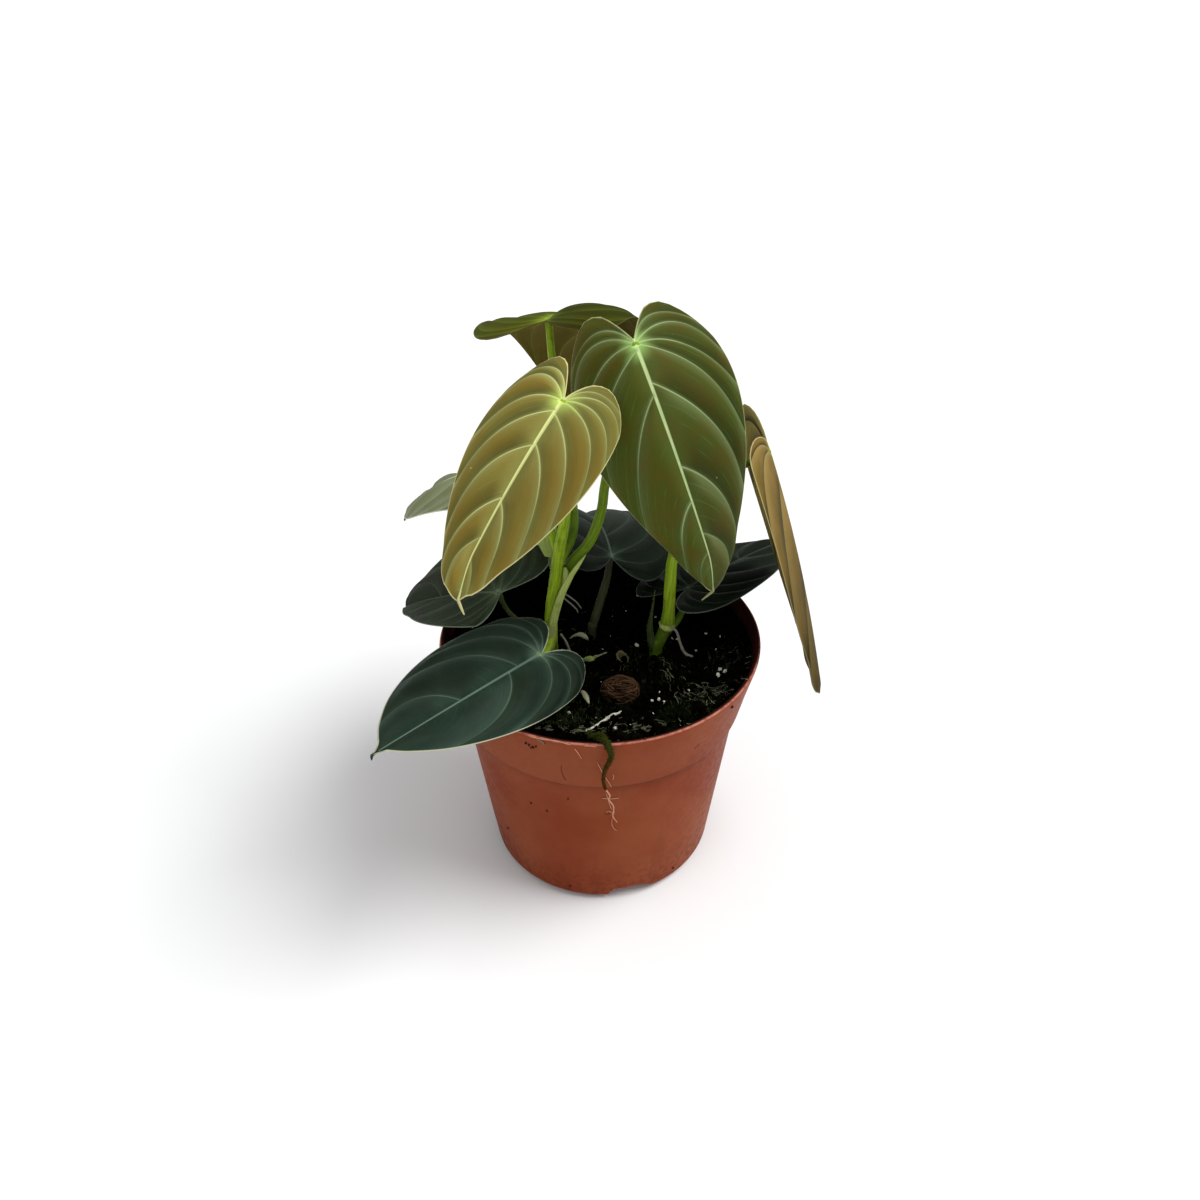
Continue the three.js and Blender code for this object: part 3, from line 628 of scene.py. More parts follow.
def leafShells(leaf):
    # the grid runs vein by vein and out along each; its height is the swelling between the veins, the
    # waves of the margin, half the thickness to either face, grooves above and ridges below
    rows, columns, form, length = leafRows(leaf), leafColumns, leafForm, leaf["length"]
    number, out = np.meshgrid(rows, columns, indexing="ij")
    shells = []
    for half, hand in ((leaf["right"], 1), (leaf["left"], -1)):
        knot = veinCurve(half, number, out)[2].ravel()
        flat = flatPlaces(leaf, half, number, out)
        nearest, veinScaled = veinGaps(leaf, half, flat)
        edgeGap, _ = distanceTo(flat, flatPlaces(leaf, half, np.linspace(0, lastVein, 400), np.ones(400)))
        edgeGap = np.where(out.ravel() == 1, 0, edgeGap)  # both faces meet at the margin
        tip = tipShortened(tipFrom + tipReach, half["short"]) * length
        ribGap, _ = distanceTo(flat, np.array([[0, -0.02 * length], [0, tip]]))
        share = flat[:, 1] / length
        ribWidth = form["ribWidth"] * (1.2 - 0.95 * np.clip(share, 0, 1))
        between = np.concatenate([[0], half["veins"], [lastVein]])
        panel = np.interp(number, between, np.arange(len(between))) % 1  # 0 to 1 from vein to vein
        closest = np.minimum(nearest, ribGap)
        puff = 1 - np.exp(-np.maximum(np.sqrt(closest ** 2 + 0.16) - 0.4, 0) / form["quiltReach"])
        swell = form["quilt"] * half["quilt"] * puff * smoothStep(edgeGap, 0, 4.5)
        wave = form["wave"] * out.ravel() ** 3 * np.sin(2 * math.pi * form["waves"] * knot / outlineSpans)
        inside = smoothStep(edgeGap, 0, 1.0)
        veinMask = (1 - smoothStep(veinScaled, 0.3, 2.2)) * smoothStep(ribGap, 0, 0.5)
        ribMask = 1 - smoothStep(ribGap / ribWidth, 0.2, 1.6)
        thick = form["thickness"] / 2 * np.sqrt(np.clip(edgeGap / form["edgeRound"], 0, 1))
        upper = swell + wave + thick - form["groove"] * veinMask * inside
        upper = upper + form["ribLift"] * ribMask * inside
        under = swell + wave - thick - form["ridge"] * veinMask * inside * (ribWidth + 0.2)
        under = under - ribMask * inside * ribWidth
        values = {
            "veinGap": np.minimum(veinScaled, 30), "ribGap": np.minimum(ribGap / ribWidth, 30),
            "marginGap": edgeGap, "hubGap": np.hypot(flat[:, 0], flat[:, 1]), "panel": panel.ravel(),
            # painted light and shade: the half's brightness from stalk to tip, and how strongly its panels
            # are shaded
            "gain": np.interp(share, [0, 0.5, 1], half["gain"]), "relief": half["relief"],
        }
        for material, face, height in ((0, 1, upper), (1, -1, under)):
            points = bladePoint(leaf, half, hand, flat[:, 0], flat[:, 1], height)
            shells.append(sheet(
                points.reshape(len(rows), len(columns), 3), flip=(hand * face < 0), material=material,
                map=np.stack([number.ravel() / lastVein, out.ravel()], -1), values=values))
    return shells


def dripTip(leaf):
    # the leaf's thread-like tip: on from the blade, aside to its right, and down, in mm; the last number
    # is 0 where it is pale as the margin, 1 where it is as dark as the blade
    onward, aside, down, dark = leaf["drip"]
    end = tipShortened(tipFrom + tipReach, leaf["short"])
    along = leaf["length"] * (end + np.array([-0.05, -0.03, -0.01]))
    blade = bladePoint(leaf, leaf["right"], 1, np.zeros(3), along, np.zeros(3))
    _, right, _ = leafFrame(leaf)
    ahead = unit(blade[2] - blade[1])
    share = np.array([0.35, 0.7, 1.0])[:, None]
    thread = blade[2] + ahead * onward * share + right * aside * share ** 1.4
    thread = thread - np.array([0, 0, down]) * share ** 1.2
    values = {"veinGap": 6.0, "ribGap": 3.0, "marginGap": dark, "hubGap": leaf["length"], "panel": 0.4,
              "gain": 1.0, "relief": 0.0}
    line, radii = np.vstack([blade[[0, 2]], thread]), [0.3, 0.5, 0.45, 0.38, 0.2]
    return tube(line, radii, sides=8, step=0.4, values=values)


# The velvet: reaches are in half widths of the vein or the midrib, or in mm from the stalk or the margin
leafLook = {
    "clouds": (70, 3, 0.55), "broad": (26, 2), "streaks": (1, 2, 0.6), "grain": (1900, 2, 0.7),
    "streakStretch": (230, 5, 1),        # along the vein numbers and out along the veins
    "haloReach": 15.0, "ribHaloReach": 13.0, "glowReach": 8.5, "starReach": (0.8, 2.6),
    "veinCore": (0.4, 1.5, 0.8, 0.0), "veinBand": (0.4, 4.5, 0.2, 0.0), "ribEdge": (0.55, 1.2),
    "marginEdge": (0.18, 0.5),
    # painted shade and light on the panels: the shadow's colour, and how much of it and of the pale vein
    # colour is laid on
    "panelShade": (0.012, 0.012, 0.002, 1), "paintedPanelDark": 0.55, "paintedPanelLight": 0.16,
    "netLines": 32.0, "netWidth": 0.085, "specks": 170,
}


def buildLeafPattern():
    look = leafLook
    group, given = newPattern("leafPattern", ("Ground", "Second", "Halo", "Vein", "Star", "Margin"),
                              ("Vein Show", "Halo Show", "Margin Show", "Fine Show"))
    place, placed = objectPlace(group), surfaceMap(group)
    labels = ("veinGap", "ribGap", "marginGap", "hubGap", "panel", "relief", "gain")
    vein, rib, edge, hub, panel, relief, gain = (attribute(group, label) for label in labels)
    u, v, _ = parted(group, placed)
    cloud, broad, grain = (noise(group, place, *look[label]) for label in ("clouds", "broad", "grain"))
    streak = noise(group, stretched(group, placed, look["streakStretch"]), *look["streaks"])
    drift = plus(group, times(group, cloud, 0.55), times(group, broad, 0.45))
    drift = plus(group, drift, times(group, calc(group, "SUBTRACT", streak, 0.5), 0.22))
    tone = mix(group, ramp(group, drift, 0.36, 0.62), given["Ground"], given["Second"])
    # the velvet is greener close to the veins
    nearVein = ramp(group, vein, 0.0, look["haloReach"], 1.0, 0.0)
    nearRib = ramp(group, rib, 0.0, look["ribHaloReach"], 1.0, 0.0)
    halo = times(group, calc(group, "MAXIMUM", nearVein, nearRib), given["Halo Show"])
    halo = times(group, halo, ramp(group, cloud, 0.25, 0.7, 0.55, 1.15))
    tone = mix(group, halo, tone, given["Halo"])
    # painted light and shade of the puffed panels: pale beside the vein nearer the stalk, as if lit, and dark
    # towards the next one, as if shaded
    paintedPanelStrength = times(group, relief, ramp(group, v, 0.02, 0.25))
    dark = times(group, ramp(group, panel, 0.4, 1.0), times(group, paintedPanelStrength, look["paintedPanelDark"]))
    tone = mix(group, dark, tone, look["panelShade"])
    paintedLitSide = ramp(group, panel, 0.0, 0.45, 1.0, 0.0)
    paintedLitSide = times(group, paintedLitSide, times(group, paintedPanelStrength, look["paintedPanelLight"]))
    tone = mix(group, paintedLitSide, tone, given["Vein"])
    # a net of fine veins between the side veins
    fine = plus(group, times(group, u, look["netLines"]), times(group, broad, 0.5))
    fine = ramp(group, calc(group, "PINGPONG", fine, 0.5), 0.0, look["netWidth"], 1.0, 0.0)
    fine = times(group, fine, ramp(group, cloud, 0.42, 0.62))
    tone = mix(group, times(group, fine, given["Fine Show"]), tone, given["Vein"])
    # a pale glow where the veins meet
    glow = ramp(group, hub, 0.0, look["glowReach"], 1.0, 0.0)
    glow = times(group, glow, ramp(group, calc(group, "MINIMUM", vein, rib), 0.0, 8.0, 0.95, 0.15))
    glow = times(group, glow, given["Halo Show"])
    glow = calc(group, "MAXIMUM", glow, ramp(group, hub, *look["starReach"], 0.9, 0.0))
    tone = mix(group, glow, tone, given["Star"])
    # veins in a soft pale band, midrib, margin; the last veins before the tip are faint
    fade = times(group, ramp(group, v, 0.3, 0.95, 1.0, 0.2), ramp(group, u, 0.8, 0.93, 1.0, 0.3))
    core, band = (ramp(group, vein, *look[label]) for label in ("veinCore", "veinBand"))
    lines = times(group, calc(group, "MAXIMUM", core, band), fade)
    lines = times(group, lines, given["Vein Show"])
    middle = ramp(group, rib, *look["ribEdge"], 1.0, 0.0)
    middle = times(group, middle, calc(group, "POWER", given["Vein Show"], 0.5))
    tone = mix(group, calc(group, "MAXIMUM", lines, middle), tone, given["Vein"])
    rim = times(group, ramp(group, edge, *look["marginEdge"], 1.0, 0.0), given["Margin Show"])
    tone = mix(group, rim, tone, given["Margin"])
    # scattered pale specks
    speck = ramp(group, cells(group, place, look["specks"]), 0.03, 0.055, 1.0, 0.0)
    speck = times(group, speck, ramp(group, cloud, 0.5, 0.56))
    tone = mix(group, times(group, speck, 0.5), tone, given["Margin"])
    height = plus(group, times(group, streak, 0.8), times(group, grain, 0.35))
    # painted light and shade: the colour is scaled by the half's brightness
    return endPattern(group, scaled(group, tone, gain), ramp(group, grain, 0.3, 0.7, 0.5, 0.68), height)


leafPattern = buildLeafPattern()

# Finishes: the colours of the upper and the under side in the order of the pattern's inputs, and how
# much the veins, the halo beside them and the margin show. The under side shows them as veinsBelow says.
velvet = {"Sheen Roughness": 0.5, "Sheen Tint": (0.8, 0.95, 0.65, 1)}
leafSheen, leafBump, fineVeins, veinsBelow, haloBelow = 0.05, 0.00012, 0.05, 0.6, 0.4
leafFinishes = {
    "gold": {"slot": "leaf_gold", "gloss": 0.05,
        "upper": "#6f5e22 #70682d #767c45 #c6cc86 #bddc68 #cfc992", "shows": (0.8, 0.6, 0.8),
        "under": "#716732 #797231 #81893f #cfd69a #c3dc78 #cfc992", "marginBelow": 0.7},
    # its under side is paler, painted light shining through the blade, and its under veins darker, painted
    # shadows in the furrows
    "goldSide": {"slot": "leaf_gold", "gloss": 0.02, "sheen": 0.01,
        "upper": "#6f5827 #5a4b1e #6c6030 #a99360 #8f9a48 #a89a6c", "shows": (0.25, 0.3, 0.7),
        "under": "#857742 #877b45 #8c864c #6a5a30 #8f9a48 #a89a6c", "marginBelow": 0.7},
    "olive": {"slot": "leaf_olive", "gloss": 0.05,
        "upper": "#48420f #3d4812 #455627 #b2c68c #aede7e #a9aa78", "shows": (0.68, 0.6, 0.7),
        "under": "#4f4f1f #565823 #63692e #b4cd98 #a8cf7c #a9aa78", "marginBelow": 0.7},
    "oliveBack": {"slot": "leaf_olive", "gloss": 0.0,
        "upper": "#403707 #3f430d #4b5714 #8f9f3e #9dbb3c #6f7038", "shows": (0.65, 0.6, 0.5),
        "under": "#665a22 #6c602a #766e34 #8f8b4a #9dbb3c #5c5526", "marginBelow": 0.5},
    "grey": {"slot": "leaf_grey", "gloss": 0.14,
        "upper": "#5e643d #6c734f #848967 #b4bba6 #b4bba6 #c3c6b4", "shows": (0.8, 0.5, 0.8),
        "under": "#737c51 #7f8855 #8f9b60 #b4bba6 #b4bba6 #c3c6b4", "marginBelow": 0.7},
    "dark": {"slot": "leaf_dark", "gloss": 0.08,
        "upper": "#1e2614 #26321c #30422a #6e7f68 #7c8e6c #8c9a84", "shows": (0.45, 0.4, 0.7),
        "under": "#3b482a #44502e #546234 #5f7264 #7c8e6c #7c8b7e", "marginBelow": 0.6},
    # painted shade: a darker copy of dark for the leaf that sits in the shade under the large olive leaf
    "darkRight": {"slot": "leaf_dark", "gloss": 0.05, "sheen": 0.03,
        "upper": "#101b0c #172513 #21331f #5c7563 #4e6a50 #8fa192", "shows": (0.5, 0.4, 0.8),
        "under": "#233019 #29351c #334220 #4b6156 #4e6a50 #6b7c70", "marginBelow": 0.6},
    "darkFront": {"slot": "leaf_dark", "gloss": 0.1, "sheen": 0.03,
        "upper": "#142319 #1b2d23 #2a4132 #72897a #7f9a80 #b9bba0", "shows": (0.45, 0.5, 0.85),
        "under": "#2c3823 #333f26 #404d2c #72897a #7f9a80 #b9bba0", "marginBelow": 0.6},
    # painted shade: a darker copy of dark for the leaf that sits in the shade behind the stems
    "darkBack": {"slot": "leaf_dark", "gloss": 0.04, "sheen": 0.02,
        "upper": "#131e12 #1b291a #233526 #7a8c7e #6f8673 #65746a", "shows": (0.38, 0.4, 0.6),
        "under": "#28341f #2e3a22 #3a4727 #66796c #6f8673 #65746a", "marginBelow": 0.6},
}


def leafMaterials(name, finish):
    sheen = finish.get("sheen", leafSheen)
    settings = {**velvet, "Specular IOR Level": finish["gloss"], "Sheen Weight": sheen}
    shows = (*finish["shows"], fineVeins)
    showsBelow = (veinsBelow, haloBelow, finish["marginBelow"], fineVeins)
    return [
        newMaterial(name + "LeafUpper", settings, leafPattern, finish["upper"], shows, leafBump),
        newMaterial(name + "LeafUnder", settings, leafPattern, finish["under"], showsBelow, leafBump),
    ]


materialsOfLeaves = {name: leafMaterials(name, finish) for name, finish in leafFinishes.items()}
for leafName, leaf in leaves.items():
    shells = leafShells(leaf) + ([dripTip(leaf)] if leaf["drip"] else [])
    makePiece(leafName + "_blade", shells, materialsOfLeaves[leaf["finish"]],
              leafFinishes[leaf["finish"]]["slot"], leafName)
print("leaves")

# Stems: stalks with swollen feet, and the bracts that wrapped them. A stalk has points and radii, a bract
# its middle line, half widths along it, the side it faces and how far it wraps, in degrees either way.
# Painted shade darkens them, all over or along the line.

stemForm = {
    "sides": 20, "step": 0.9,
    "tipRadius": 1.3, "intoLeaf": 0.9,   # where a stalk ends, below its leaf's upper face
    "footHeights": (72, 80, 88, 93.5), "footSwell": (0.8, 1, 1.06, 1),
}
bractForm = {"step": 0.7, "halfThickness": 0.2, "columns": 15}
plants = {
    "stem_left": {
        "foot": (-18.5, 3), "footRadius": 2.4, "footShade": 0.2, "slot": "stem_green",
        "stalks": [
            {"leaf": "leaf_gold_front",
             "points": [[-18.5, 3, 92], [-18, 2.5, 107], [-16, 2, 121.5], [-14.2, 1.5, 135.5],
                        [-11.9, 0, 149], [-9.6, -5, 171], [-9.4, -13, 190]],
             "radii": [2.4, 2.4, 2.4, 2.2, 1.9, 1.6, 1.4]},
            {"leaf": "leaf_olive_large",
             "points": [[-16.2, 2.2, 118], [-13, 3.4, 123.5], [-9.8, 4, 128.8], [-3.2, 4, 137.6],
                        [0.9, 4, 150], [2.2, 3.8, 160], [4.6, 2.5, 175], [8.4, -0.5, 194]],
             "radii": [1.6, 1.8, 1.9, 1.9, 1.8, 1.7, 1.5, 1.4],
             "shade": [0.3, 0.7, 0.75, 0.6, 0.6, 0.6, 0.5, 0.5, 0.4]},
            {"leaf": "leaf_top_back",
             "points": [[-14.8, 2.2, 128], [-9.6, 8, 137.5], [-9.2, 13, 148.5], [-12, 19, 169],
                        [-14.8, 26, 189], [-15.7, 31.5, 196.8]], "radii": [1.5, 1.7, 1.6, 1.5, 1.4, 1.4],
             "shade": [0.6, 0.9, 0.8, 0.3, 0.1, 0.1, 0.1]},
            {"leaf": "leaf_left_small",
             "points": [[-14.6, 1.8, 131], [-18, 5, 143], [-26, 9, 151.5], [-33, 11.3, 156]],
             "radii": [1.3, 1.3, 1.2, 1.2]},
            {"leaf": "leaf_dark_left",
             "points": [[-18.4, 2.8, 95], [-23.5, 3.8, 97.6], [-29, 4.8, 100.2], [-33.4, 5.6, 104],
                        [-36, 5.6, 109]], "radii": [1.4, 1.2, 1.0, 0.9, 0.9], "material": 2},
            {"leaf": "leaf_dark_front",
             "points": [[-18.4, 2.5, 95], [-19, -5, 97.5], [-20.4, -13, 99.2], [-21.6, -18.5, 100.8]],
             "radii": [1.6, 1.6, 1.5, 1.4]},
        ],
        "bracts": [
            {"points": [[-18.5, -0.4, 91], [-17.6, -1.1, 99], [-16.4, -1.3, 106.5], [-13.6, -1.6, 117],
                        [-10, -1.3, 125.4], [-7, -0.8, 130.6], [-4.6, -0.3, 134.6]],
             "widths": [2.6, 2.7, 2.4, 2.1, 1.6, 1.1, 0.15], "faces": (0.45, -1, 0.15), "wrap": 80,
             "shade": 0},
            {"points": [[-15.9, 2.6, 117], [-16.2, 3.0, 124], [-17.3, 3.4, 131], [-18.7, 3.8, 138],
                        [-19.0, 3.8, 147], [-18.0, 3.6, 153]], "widths": [0.15, 1.2, 2.8, 4.4, 4.4, 0.8],
             "faces": (-0.1, -1, 0.1), "wrap": 45, "shade": 0.6},
            {"points": [[-12.9, -0.6, 118.5], [-12.2, -0.8, 122.5], [-11.9, -0.9, 126.5],
                        [-12.3, -0.7, 129.5]], "widths": [0.9, 1.3, 1.4, 0.5], "faces": (0.3, -1, 0.15),
             "wrap": 60, "shade": 0.5},
        ],
    },
    "stem_right": {
        "foot": (21.3, 1), "footRadius": 2.4, "footShade": 1.0, "slot": "stem_green",
        "stalks": [
            {"leaf": "leaf_gold_side",
             "points": [[21.3, 1, 91], [24.4, 1.8, 98.5], [25.3, 2, 101], [25.8, 2.4, 107.5], [26, 3, 118],
                        [26.6, 3.8, 129.5], [29.5, 6.5, 141], [36, 10.5, 151.5], [45.5, 14.2, 158.2]],
             "radii": [2.4, 2.4, 2.9, 2.3, 2.2, 2, 1.7, 1.5, 1.4],
             "shade": [1, 0.95, 0.5, 0.15, 0, 0, 0.1, 0.6, 1, 1]},
            {"leaf": "leaf_dark_right", "points": [[23, 1.5, 95], [27, 3.4, 98.6], [30.8, 6.6, 102.6]],
             "radii": [1.4, 1.4, 1.3], "shade": [0.5, 0.7, 1, 1]},
        ],
        "bracts": [
            {"points": [[20.2, -0.8, 89.5], [19.0, -1.0, 96], [18.6, -0.6, 102], [19.2, -0.3, 108],
                        [19.9, -0.1, 114], [20.3, 0, 118.5]], "widths": [1.9, 2.0, 1.5, 0.7, 0.4, 0.2],
             "faces": (-0.2, -1, 0.1), "wrap": 70, "shade": 0.3, "material": 2},
            {"points": [[24.9, -0.9, 99.7], [25.2, -1.1, 101.2], [25.4, -0.9, 102.7]],
             "widths": [7.4, 8.8, 7.6], "faces": (0, -1, 0), "wrap": 160, "shade": 0},
        ],
    },
    "stem_back": {
        "foot": (-3.1, 12), "footRadius": 1.7, "footShade": 0.2, "slot": "stem_shaded",
        "stalks": [
            {"leaf": "leaf_dark_back",
             "points": [[-3.1, 12, 91.5], [-0.8, 14, 99.5], [1.6, 17, 106.5], [3.2, 20.5, 111]],
             "radii": [1.7, 1.7, 1.6, 1.4]},
        ],
        "bracts": [],
    },
}


def stalkShell(stalk):  # the stalk is carried on to the underside of its leaf
    leaf = leaves[stalk["leaf"]]
    _, _, normal = leafFrame(leaf)
    top = np.array(leaf["hub"]) - normal * stemForm["intoLeaf"]
    return tube(np.vstack([stalk["points"], top]), list(stalk["radii"]) + [stemForm["tipRadius"]],
                stemForm["sides"], stemForm["step"], {"shade": stalk.get("shade", 0.0)},
                material=stalk.get("material", 0))


def stemFoot(plant):  # the foot of the shoot, from within the soil to a little over it
    line = [[*plant["foot"], height] for height in stemForm["footHeights"]]
    radii = [plant["footRadius"] * swell for swell in stemForm["footSwell"]]
    return tube(line, radii, stemForm["sides"], stemForm["step"], {"shade": plant["footShade"]})


def bractShells(bract):
    # a channel: at each point of the middle line an arc of the given width, thin at its edges; both
    # faces meet there and at the ends
    line, at = evenly(bract["points"], bractForm["step"])
    width = readAlong(bract["widths"], at)[:, None]
    ahead = unit(np.gradient(line, axis=0))
    faces = np.array(bract["faces"], float)
    side = unit(np.cross(ahead, faces))
    out = np.cross(side, ahead)
    out = out * np.sign((out * faces).sum(-1))[:, None]
    wrap = math.radians(bract["wrap"])
    across = np.linspace(-1, 1, bractForm["columns"])
    whole = np.ones((len(line), 1))
    whole[[0, -1]] = 0
    reach = width * np.sin(across * wrap) / wrap
    depth = width * (1 - np.cos(across * wrap)) / wrap
    edge = np.sqrt(np.maximum(1 - across ** 2, 0))
    placed = np.stack(np.broadcast_arrays(across / 2 + 0.5, at[:, None] / 10), -1).reshape(-1, 2)
    shells = []
    for face in (1, -1):
        thick = face * bractForm["halfThickness"] * edge * np.clip(width / 0.6, 0.3, 1) * whole
        grid = line[:, None] + reach[..., None] * side[:, None] + (thick - depth)[..., None] * out[:, None]
        shells.append(sheet(grid, flip=(face < 0), map=placed, material=bract.get("material", 1),
                            values={"shade": bract["shade"]}))
    return shells


def buildStalkPattern():
    group, given = newPattern("stalkPattern", ("Ground", "Pale", "Dark", "Foot"))
    place = objectPlace(group)
    streak = noise(group, stretched(group, surfaceMap(group), (9, 9, 1)), 1, 3, 0.6)
    cloud = noise(group, place, 190, 3, 0.6)
    grain = noise(group, place, 2600, 2, 0.6)
    tone = mix(group, ramp(group, streak, 0.35, 0.68), given["Ground"], given["Pale"])
    tone = mix(group, ramp(group, cloud, 0.5, 0.72, 0.0, 0.35), tone, given["Dark"])
    # painted shade on stretches that stand in the shade, and feet darker just over the soil
    shade = times(group, attribute(group, "shade"), ramp(group, cloud, 0.3, 0.65, 1.0, 0.8))
    tone = mix(group, shade, tone, given["Dark"])
    foot = ramp(group, parted(group, place)[2], 0.0885, 0.096, 1.0, 0.0)
    tone = mix(group, times(group, foot, ramp(group, cloud, 0.3, 0.6, 0.35, 0.9)), tone, given["Foot"])
    fleck = ramp(group, noise(group, place, 900, 1), 0.68, 0.74, 0.0, 0.4)
    tone = mix(group, fleck, tone, given["Dark"])
    height = plus(group, streak, times(group, grain, 0.3))
    return endPattern(group, tone, ramp(group, grain, 0.3, 0.7, 0.34, 0.5), height)


stalkPattern = buildStalkPattern()
stalkGloss = {"Specular IOR Level": 0.1, "Subsurface Weight": 0.12, "Subsurface Radius": (0.4, 0.8, 0.15),
              "Subsurface Scale": 0.002}
stalkBump = 0.00012
stalkColours = {  # ground, pale, dark and foot
    "stem_green": {
        "freshStalk": "#7f9e19 #a6c034 #365210 #415614",
        "paleBract": "#a3b55c #c3d07c #66783a #92a64e",
        # painted shade: a darker copy of the fresh stalk for stalks and bracts down in the shade
        "shadedStalk": "#354020 #525f34 #20281a #2a3418",
    },
    "stem_shaded": {"greyStalk": "#3b3d27 #4d4f35 #1e2818 #2a2818"},
}
stalkMaterials = {
    slotName: [newMaterial(name, stalkGloss, stalkPattern, colours, bumpDepth=stalkBump)
               for name, colours in finishes.items()]
    for slotName, finishes in stalkColours.items()
}

for plantName, plant in plants.items():
    shells = [stemFoot(plant)]
    shells += [stalkShell(stalk) for stalk in plant["stalks"]]
    for bract in plant["bracts"]:
        shells += bractShells(bract)
    makePiece(plantName + "_stalks", shells, stalkMaterials[plant["slot"]], plant["slot"], plantName)
print("stems")

# Pot: a turned shell with a flared band, four notches in its foot and eight drain holes

pot = {
    "height": 98.6, "rimRadius": 60, "bandHeight": 25.4, "bandFootRadius": 54.4, "wallTopRadius": 52.8,
    "baseRadius": 44, "cornerRadius": 5, "wall": 1.4, "floor": 4, "edgeCut": 0.55,
    "bandBend": (57, 12),    # radius of the band, and how far over its foot
    "standRadius": 36, "floorRadius": 34,  # where the flat underside and the flat floor end
    "notches": 4, "notchTurn": -73, "notchWidth": 23, "notchRise": 6.4, "notchRamp": 2.6,
    "drainHoles": 8, "drainRing": 27, "drainRadius": 3.6, "drainSides": 24, "sides": 240,
}
bandFoot = pot["height"] - pot["bandHeight"]
# the flared band's outline, upwards: radius and height
bandProfile = np.array([
    [pot["bandFootRadius"] + 0.1, bandFoot + 0.6], [pot["bandBend"][0], bandFoot + pot["bandBend"][1]],
    [pot["rimRadius"] - 0.7, pot["height"] - 4], [pot["rimRadius"], pot["height"] - 1.2],
    [pot["rimRadius"], pot["height"]],
])


def wallRadius(z):  # the outside of the wall below the band
    return pot["baseRadius"] + (pot["wallTopRadius"] - pot["baseRadius"]) * z / bandFoot


def outerRadius(z):  # the flared band over the wall
    band = np.vstack([[pot["bandFootRadius"] - 0.2, bandFoot], bandProfile])
    return np.where(z > bandFoot, np.interp(z, band[:, 1], band[:, 0]), wallRadius(z))


def innerRadius(z):  # the inside of the wall and of the band
    flare = (pot["rimRadius"] - pot["bandFootRadius"]) * (z - bandFoot) / pot["bandHeight"]
    band = pot["bandFootRadius"] + flare - pot["wall"] - 0.2
    return np.where(z > bandFoot, band, wallRadius(z) - pot["wall"])


def softened(profile, cut):
    # each corner of the profile is cut back by at most that length and rounded with a quadratic curve
    before, corner, after = (profile[k:len(profile) - 2 + k][:, None] for k in range(3))
    back, on = before - corner, after - corner
    backLength, onLength = (np.linalg.norm(away, axis=-1, keepdims=True) for away in (back, on))
    first = corner + back / backLength * np.minimum(cut, backLength * 0.45)
    last = corner + on / onLength * np.minimum(cut, onLength * 0.45)
    share = np.linspace(0, 1, 5)[:, None]
    curve = (1 - share) ** 2 * first + 2 * share * (1 - share) * corner + share ** 2 * last
    return np.vstack([profile[:1], curve.reshape(-1, 2), profile[-1:]])


def potProfile():  # out along the underside, up the wall and the band, down inside and in along the floor
    corner, floor = pot["cornerRadius"], pot["floor"]
    arc = np.linspace(0, math.pi / 2, 7)
    foot = np.stack([wallRadius(corner) - corner * (1 - np.sin(arc)), corner * (1 - np.cos(arc))], -1)
    wall = [[wallRadius(z), z] for z in (20, 50, bandFoot - 0.9)]
    inside = [[innerRadius(z), z] for z in (pot["height"], bandFoot + 0.5, bandFoot - 1, floor + 3)]
    underside = [[0, 0], [pot["standRadius"], 0]]
    ledge = [[pot["bandFootRadius"] - 0.2, bandFoot - 0.4]]
    inFloor = [[float(innerRadius(floor + 3)) - 3, floor], [pot["floorRadius"], floor], [0, floor]]
    outline = np.vstack([underside, foot, wall, ledge, bandProfile, inside, inFloor])
    return softened(outline, pot["edgeCut"])


def buildPot():
    # the profile carried round the upright axis, then lifted over each notch
    profile = potProfile()
    turn = fullTurn(pot["sides"])
    radius, height = profile[:, :1], profile[:, 1:]
    grid = np.stack(np.broadcast_arrays(radius * np.sin(turn), -radius * np.cos(turn), height), -1)
    x, y, z = grid[..., 0], grid[..., 1], grid[..., 2]
    half = pot["notchWidth"] / 2
    lining = np.arange(len(profile))[:, None] > profile[:, 1].argmax() + 5  # rows of the pot's inside
    for k in range(pot["notches"]):  # a notch is steep at one end and easy at the other
        towards = math.radians(pot["notchTurn"] + 360 / pot["notches"] * k)
        outward = x * math.cos(towards) + y * math.sin(towards)
        beside = -x * math.sin(towards) + y * math.cos(towards)
        rise = smoothStep(beside, -half, -half + pot["notchRamp"]) * (1 - smoothStep(beside, 0, 1.3 * half))
        rise = (outward > pot["standRadius"] + 0.5) * rise * (pot["notchRise"] + lining * pot["wall"])
        z[:] = np.where(z < pot["notchRise"] + 2, np.maximum(z, rise), z)
    return makeObject("pot_shell", [sheet(grid, around=True)], [])


